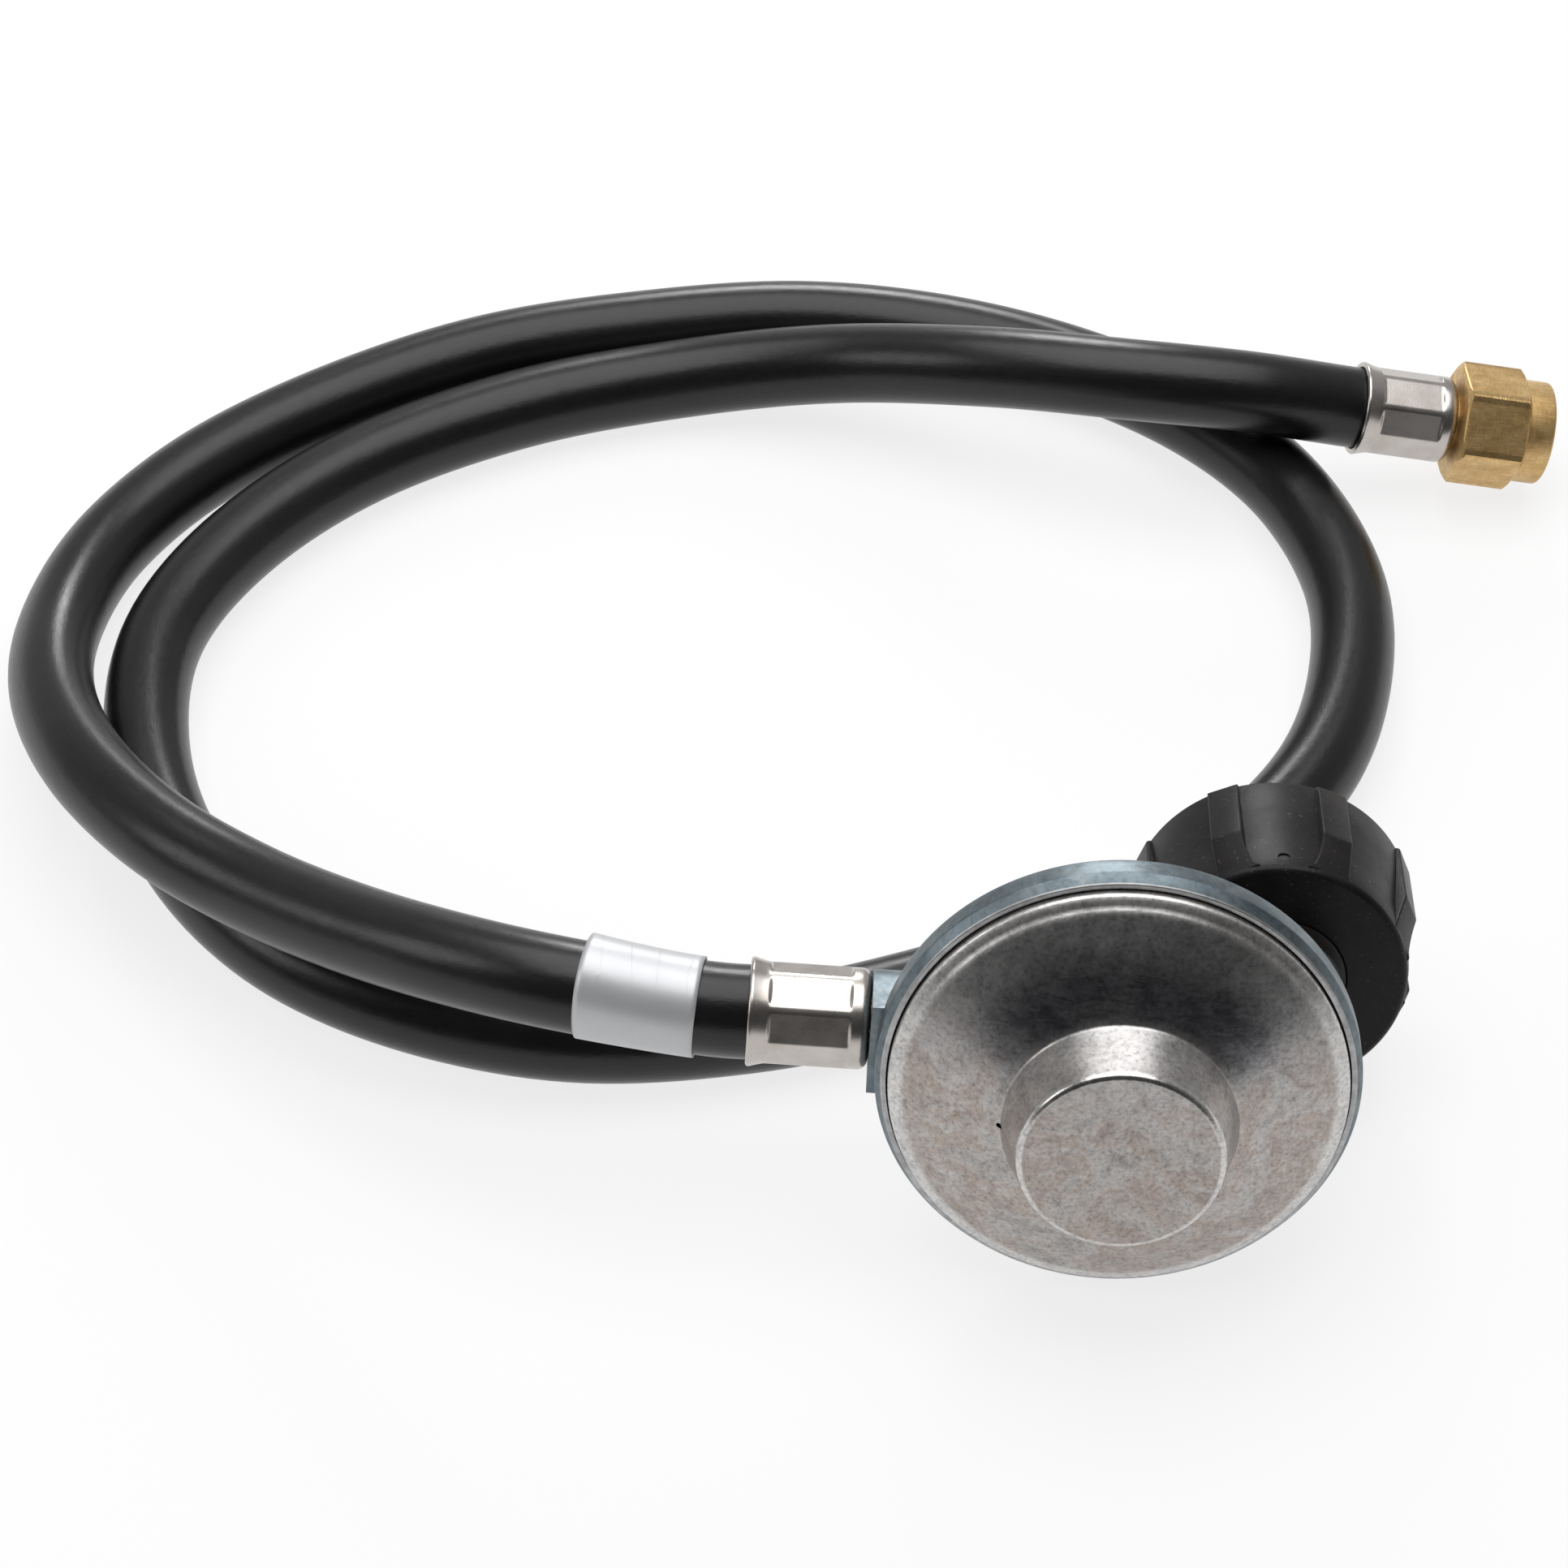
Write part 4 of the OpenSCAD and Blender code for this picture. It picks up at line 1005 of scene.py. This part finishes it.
def wound_spring(name, coil_r, wire_r, turns, low, high, x, steps=36):
    """Round wire wound between two heights in the regulator's own frame."""
    rise = (high - low - 2 * wire_r) / (steps * turns)
    path = [
        on_regulator(
            x + coil_r * math.cos(TURN * k / steps),
            coil_r * math.sin(TURN * k / steps),
            low + wire_r + rise * k,
        )
        for k in range(steps * turns + 1)
    ]
    return swept(name, path, wire_r * MM, 12)


# Each spring's piece, the solid that it stands for, its body, its joint and the joint's
# travel; then its coil and wire radius, turns, lower and upper end, and place
SPRINGS = (
    ("loading_spring", "main_spring", "regulator", "diaphragm_stroke", 2.35)
    + (9.6, 0.9, 5, -1.35, 14.35, 0),
    ("vent_spring", "relief_spring", "post", "relief_lift", 0.83)
    + (4.2, 0.4, 4, -1.35, 6.85, 0),
    ("poppet_spring", "check_spring", "regulator", "check_poppet_slide", 2.03)
    + (4.55, 0.28, 4, -38.05, -27.05, INLET_X),
)


class REGULATOR_OT_springs(bpy.types.Operator):
    """Winds the three springs"""

    bl_idname = "regulator.springs"
    bl_label = "Springs"

    def execute(self, context):
        for name, node, body, joint, travel, *sizes in SPRINGS:
            coil = wound_spring(name, *sizes)
            finish_piece(coil, name, body, "spring_steel", node)
            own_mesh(coil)
        return {"FINISHED"}


# The bonnet's cone, from the small step by its rolled edge up to the tower's foot
CONE = [(33.25, 2.27), (32.8, 2.52), (32.55, 2.68), (32.25, 3.0), (31.95, 3.28)]
CONE += [(31.5, 3.58), (30.1, 4.40), (28.2, 5.46), (26, 6.60), (23.7, 7.72), (21.5, 8.75)]
# Its inside, from the mouth's seat down past the spring to the diaphragm
INSIDE = [(13, MOUTH_SEAT), (13, 10.4), (17, 8.0), (29.7, 0), (29.7, -2.4)]
VENT = (0.42, 9, (-17.5, -1.3, 9.5), "Z", 20)


class REGULATOR_OT_bonnet(bpy.types.Operator):
    """Turns the bonnet with its spring tower and sets the cap in the tower's mouth"""

    bl_idname = "regulator.bonnet"
    bl_label = "Bonnet"

    def execute(self, context):
        outline = (
            [(BONNET_R - 0.15, -2.4), (BONNET_R, -2.2), (BONNET_R, 1.2)]
            + arc(BONNET_R - 0.9, 1.25, 0.9, 2, 48, 5)
            + CONE
            + arc(18.15, 11.48, 0.9, -117.2, -164.65, 5)
            + arc(TOWER_TOP_R - TOWER_ROUND, TOWER_H - TOWER_ROUND, TOWER_ROUND, 15, 90, 9)
            + [(MOUTH_R, TOWER_H), (MOUTH_R, MOUTH_SEAT)]
            + INSIDE
        )
        bonnet = turned("bonnet_shell", outline, 160, closed=True)
        combine(bonnet, cylinder(*VENT), "DIFFERENCE")
        finish_piece(
            bonnet, "bonnet_shell", "regulator", "zinc_bonnet", "bonnet", REGULATOR, 32
        )
        cap = turned(
            "tower_top",
            [(0, TOWER_H), (CAP_R, TOWER_H), (CAP_R, MOUTH_SEAT + 0.02)]
            + [(12.3, MOUTH_SEAT + 0.02), (12.3, 18.8), (0, 18.8)],
            120,
        )
        finish_piece(
            cap, "tower_top", "regulator", "zinc_bonnet", "tower_cap", REGULATOR, 40
        )
        return {"FINISHED"}


# ----------------------------------------------------------
# Coupling nut
# ----------------------------------------------------------


def nut_core():
    """The nut's turned core: round shoulder, tapered outside and an internal thread."""
    rim_r = NUT_PAD_R - VALLEY_FAR - NUT_ROUND
    thread = []
    z = -NUT_LEN + 1.6
    while z < -7.5:
        thread += [(NUT_THREAD_R, z), (NUT_THREAD_R, z + 1.7)]
        thread += [(NUT_ROOT_R, z + 2.4), (NUT_ROOT_R, z + 4.3)]
        z += NUT_PITCH
    outline = (
        [(BUSHING_R + 0.06, -0.25), (BUSHING_R + 0.35, 0), (16.6, 0), (17.4, -0.12)]
        + arc(20.2 - SHOULDER, -SHOULDER, SHOULDER, 84, 6, 8)
        + [(20.42, -2.6), (20.6, -6.5), (20.95, -10.5), (21.4, -15.5)]
        + arc(rim_r, -NUT_LEN + NUT_ROUND, NUT_ROUND, 0, -90, 5)
        + arc(18.2, -NUT_LEN + 0.5, 0.5, -90, -160, 3)
        + thread
        + [(NUT_ROOT_R, -4.0), (BUSHING_R + 0.06, -4.0)]
    )
    return turned("nut_core", outline, 144, closed=True)


def nut_grip():
    """One grip: an even pad that slopes down at the rear and spreads there to one side."""
    rear, half, middle = -SHOULDER + 0.25, GRIP_W / 2, 20
    grip = block((middle - 4, -half, -NUT_LEN), (middle + 4, half, rear))
    edit()
    for depth in (22.4, 9.2, FACET_LEN, 7.4, 6.4, 5.4, 4.4, 3.4, 2.5, 1.8):
        bpy.ops.mesh.select_all(action="SELECT")
        bpy.ops.mesh.bisect(plane_co=(0, 0, -depth * MM), plane_no=(0, 0, 1))
    grip = object_mode()
    for v in grip.data.vertices:
        x, y, z = v.co / MM
        share = min(max((z + FACET_LEN) / (rear + FACET_LEN), 0), 1)
        wide = half
        if y > 0:
            wide += GRIP_SPREAD * (1 - math.sqrt(max(1 - share * share, 0)))
        top = NUT_PAD_R - FACET_DROP * share
        if z < -NUT_LEN + 0.3:
            top -= NUT_ROUND
        out = GRIP_FOOT_R if x < middle else top
        v.co = Vector((out * MM, math.copysign(wide, y) * MM, z * MM))
    bevel(grip, 0.3, 14)
    return grip


# The shallow gate mark between two grips
GATE, GATE_TURN = (0.95, 1.6, (21.02, 0, -2.9), "X", 32), 67.5


class REGULATOR_OT_coupling(bpy.types.Operator):
    """Makes the hand coupling nut with its thread and its eight grips"""

    bl_idname = "regulator.coupling"
    bl_label = "Coupling nut"

    def execute(self, context):
        nut = nut_core()
        spread = nut_grip()
        other = copy_of(spread)
        place(other, Matrix.Scale(-1, 4, (0, 1, 0)))
        edit()
        bpy.ops.mesh.normals_make_consistent(inside=False)
        object_mode()
        grips = [other, spread]
        for turn in range(2, GRIPS):
            grips.append(copy_of(grips[turn % 2]))
            place(grips[-1], Matrix.Rotation(TURN * turn / GRIPS, 4, "Z"))
        place(spread, Matrix.Rotation(TURN / GRIPS, 4, "Z"))
        combine(nut, join("grips", *grips), "UNION")
        gate = cylinder(*GATE)
        place(gate, Matrix.Rotation(math.radians(GATE_TURN), 4, "Z"))
        combine(nut, gate, "DIFFERENCE")
        finish_piece(nut, "hand_nut", "coupling", "nut_plastic", "coupling_nut", INLET, 35)
        return {"FINISHED"}


# ----------------------------------------------------------
# Fittings on the hose
# ----------------------------------------------------------


def crimped_ferrule(name, length):
    """A thin ferrule with eight crimped flats, a rounded back and a rolled lip."""
    outer, inner, flat = HOSE_R + 0.5, HOSE_R + 0.03, HOSE_R + 0.08
    low, high, fade, curve, eighth = 2.3, length - 2.9, 0.7, 1.6, math.pi / 4
    rings = [low + 0.12 * k for k in range(10)]
    rings += [low + 1.2 + (high - low - 2.4) * k / 4 for k in range(5)]
    rings += [high - 1.08 + 0.12 * k for k in range(10)]
    outline = (
        [(FERRULE_EYE_R, -0.3)]
        + arc(outer - curve, curve - 0.3, curve, -90, -5, 8)
        + [(outer, z) for z in rings]
        + [(outer + 0.1, length - 2.4), (outer + 0.28, length - 1.7)]
        + arc(LIP_R - 0.5, length - 0.55, 0.5, -25, 90, 7)
        + [(inner + 0.2, length - 0.1), (inner, length - 0.35), (inner, 0.8)]
        + [(FERRULE_EYE_R, 0.8)]
    )
    ferrule = turned(name, outline, 192, closed=True)
    for v in ferrule.data.vertices:
        x, y, z = v.co / MM
        r = math.hypot(x, y)
        if r < inner + 0.05 or not low < z < high:
            continue
        off = (math.atan2(y, x) - eighth / 2) % eighth
        off = min(off, eighth - off)
        edge = min(1, (z - low) / fade, (high - z) / fade)
        target = r + (min(r, flat / math.cos(off)) - r) * edge * edge * (3 - 2 * edge)
        v.co = Vector((x * target / r * MM, y * target / r * MM, z * MM))
    smooth(ferrule, 50)
    return ferrule


def label_band(low, high, sides=96, steps=20):
    """The foil band between two lengths along the hose; its far end stands off on top."""
    lengths = [0.0]
    for a, b in zip(HOSE_PATH, HOSE_PATH[1:]):
        lengths.append(lengths[-1] + (b - a).length)
    inside, outside, lifted, lifted_more = 0.06, 0.5, 0.12, 0.95

    def at(s):
        i = max(k for k in range(len(lengths) - 1) if lengths[k] <= s)
        t = (s - lengths[i]) / (lengths[i + 1] - lengths[i])
        return HOSE_PATH[i].lerp(HOSE_PATH[i + 1], t)

    line = [at(low + (high - low) * k / steps) for k in range(steps + 1)]
    band = swept("foil_band", line, (HOSE_R + outside) * MM, sides, (HOSE_R + inside) * MM)
    for v in band.data.vertices:
        station, k = v.index // (2 * sides), v.index % sides
        lift = max(0.0, -math.cos(TURN * (k / sides + 0.04))) ** 1.5
        off = (v.co - line[station]).normalized()
        v.co += off * lift * (lifted + lifted_more * (station / steps) ** 1.6) * MM
    return band


def flare_stem():
    """The flare tail: ribs inside the hose, a neck, a shoulder and a cone nose."""
    outline = (
        [(2.7, -13.8), (3.4, -13.8), (3.8, -10.8), (3.45, -7.6), (3.8, -6.8), (3.45, -3.4)]
        + [(3.8, -2.6), (3.45, 1.2), (4.7, 1.2), (5.0, 1.4), (5.0, 5.3), (6.9, 5.5)]
        + [(6.9, 6.8), (6.5, 7.1), (3.6, 11.9), (2.7, 12.0)]
    )
    return turned("flare_stem", outline, 72, closed=True)


def swivel_nut():
    """The flare nut: a chamfered hexagon with a round collar, a neck bore and a thread."""
    low, corner = FERRULE_STAND + NECK, HEX_AF / math.sqrt(3)
    high = low + HEX_LEN
    end = high + COLLAR_LEN
    nut = cylinder(corner, HEX_LEN, (0, 0, low + HEX_LEN / 2), "Z", 6)
    bevel(nut, 0.6, 25)
    place(nut, Matrix.Rotation(math.radians(30), 4, "Z"))
    face, brim, ease = corner - 1.55, corner + 0.1, 0.95
    chamfer = turned(
        "chamfer",
        [(0, 0), (face, 0), (brim, ease), (brim, HEX_LEN - ease), (face, HEX_LEN)]
        + [(0, HEX_LEN)],
        144,
    )
    place(chamfer, Matrix.Translation((0, 0, low * MM)))
    combine(nut, chamfer, "INTERSECT")
    collar = turned(
        "collar",
        [(0, high - 1), (COLLAR_R, high - 1), (COLLAR_R, end - 0.5)]
        + arc(COLLAR_R - 0.5, end - 0.5, 0.5, 0, 90, 4)[1:]
        + [(0, end)],
        120,
    )
    combine(nut, collar, "UNION")
    combine(nut, cylinder(NECK_BORE_R, 8, (0, 0, low + 1), "Z", 72), "DIFFERENCE")
    thread = [(0, low + 3.0), (7.8, low + 3.0), (7.8, end - 6.8)]
    z = end - 6.6
    while z < end - 1.2:
        thread += [(FLARE_THREAD_R, z), (FLARE_ROOT_R, z + 0.7)]
        z += FLARE_PITCH
    thread += [(7.2, end - 0.75), (7.9, end + 0.05), (7.9, end + 1), (0, end + 1)]
    combine(nut, turned("thread", thread, 96), "DIFFERENCE")
    return nut


class REGULATOR_OT_fittings(bpy.types.Operator):
    """Makes the ferrules, the foil band and the flare fitting, and ties them to the hose"""

    bl_idname = "regulator.fittings"
    bl_label = "Fittings"

    def execute(self, context):
        near = crimped_ferrule("near_ferrule", REG_FERRULE)
        spot = OUTLET @ Matrix.Rotation(math.radians(REG_FERRULE_TURN), 4, "Z")
        finish_piece(near, "near_ferrule", "regulator", "nickel", "regulator_ferrule", spot)
        far = crimped_ferrule("far_ferrule", FLARE_FERRULE)
        spot = (
            FLARE
            @ Matrix.Translation((0, 0, FERRULE_STAND * MM))
            @ Matrix.Rotation(math.pi, 4, "X")
            @ Matrix.Rotation(math.radians(FLARE_FERRULE_TURN), 4, "Z")
        )
        finish_piece(far, "far_ferrule", "regulator", "nickel", "flare_ferrule", spot)

        start = (on_regulator(-62, 0, -OUTLET_DEPTH) - HOSE_PATH[0]).length
        room = ((Vector(ROUTE[3]) - Vector(ROUTE[2])).length - LABEL_LEN) * MM
        low = start + room / 2 - LABEL_SHIFT * MM
        band = label_band(low, low + LABEL_LEN * MM)
        finish_piece(band, "foil_band", "regulator", "foil", "label_band")

        tail = flare_stem()
        finish_piece(tail, "flare_stem", "regulator", "brass", "flare_tail", FLARE, 30)
        nut = swivel_nut()
        finish_piece(nut, "swivel_nut", "flare", "brass", "flare_nut", FLARE, 14)

        return {"FINISHED"}


# ----------------------------------------------------------
# Hose
# ----------------------------------------------------------


class REGULATOR_OT_hose(bpy.types.Operator):
    """Lays the rubber hose along its route"""

    bl_idname = "regulator.hose"
    bl_label = "Hose"

    def execute(self, context):
        radius = context.scene.regulator_hose.diameter / 2
        hose = swept("rubber_hose", HOSE_PATH, radius, 48, HOSE_BORE_R * MM)
        finish_piece(hose, "rubber_hose", "regulator", "hose_rubber", "hose")
        return {"FINISHED"}


class REGULATOR_OT_finishes(bpy.types.Operator):
    """Gives every solid piece its finish"""

    bl_idname = "regulator.finishes"
    bl_label = "Finishes"

    def execute(self, context):
        make_finishes()
        for name, obj in frame["nodes"].items():
            dress(obj, NODE_SLOT[name])
        return {"FINISHED"}


class REGULATOR_PT_panel(bpy.types.Panel):
    """Lists the pieces of the regulator and its hose"""

    bl_idname = "REGULATOR_PT_panel"
    bl_label = "Propane Regulator Hose"
    bl_space_type = "VIEW_3D"
    bl_region_type = "UI"
    bl_category = "Regulator"

    def draw(self, context):
        for item in OPERATORS:
            self.layout.operator(item.bl_idname)
        for item in (context.scene.regulator_stage, context.scene.regulator_hose):
            for key in item.bl_rna.properties.keys():
                if key not in ("rna_type", "name"):
                    self.layout.prop(item, key)


OPERATORS = (
    REGULATOR_OT_finishes, REGULATOR_OT_stage, REGULATOR_OT_hose, REGULATOR_OT_body,
    REGULATOR_OT_bonnet, REGULATOR_OT_springs, REGULATOR_OT_coupling, REGULATOR_OT_fittings,
)
SETTINGS = (RegulatorStageSettings, RegulatorHoseSettings)


def register():
    for item in SETTINGS + OPERATORS + (REGULATOR_PT_panel,):
        bpy.utils.register_class(item)
    bpy.types.Scene.regulator_stage = bpy.props.PointerProperty(type=RegulatorStageSettings)
    bpy.types.Scene.regulator_hose = bpy.props.PointerProperty(type=RegulatorHoseSettings)


def unregister():
    del bpy.types.Scene.regulator_hose
    del bpy.types.Scene.regulator_stage
    for item in reversed(SETTINGS + OPERATORS + (REGULATOR_PT_panel,)):
        bpy.utils.unregister_class(item)


def main():
    register()
    bpy.ops.regulator.finishes()
    bpy.ops.regulator.stage()
    bpy.ops.regulator.hose()
    bpy.ops.regulator.body()
    bpy.ops.regulator.bonnet()
    bpy.ops.regulator.springs()
    bpy.ops.regulator.coupling()
    bpy.ops.regulator.fittings()
    deselect()


if __name__ == "__main__":
    main()
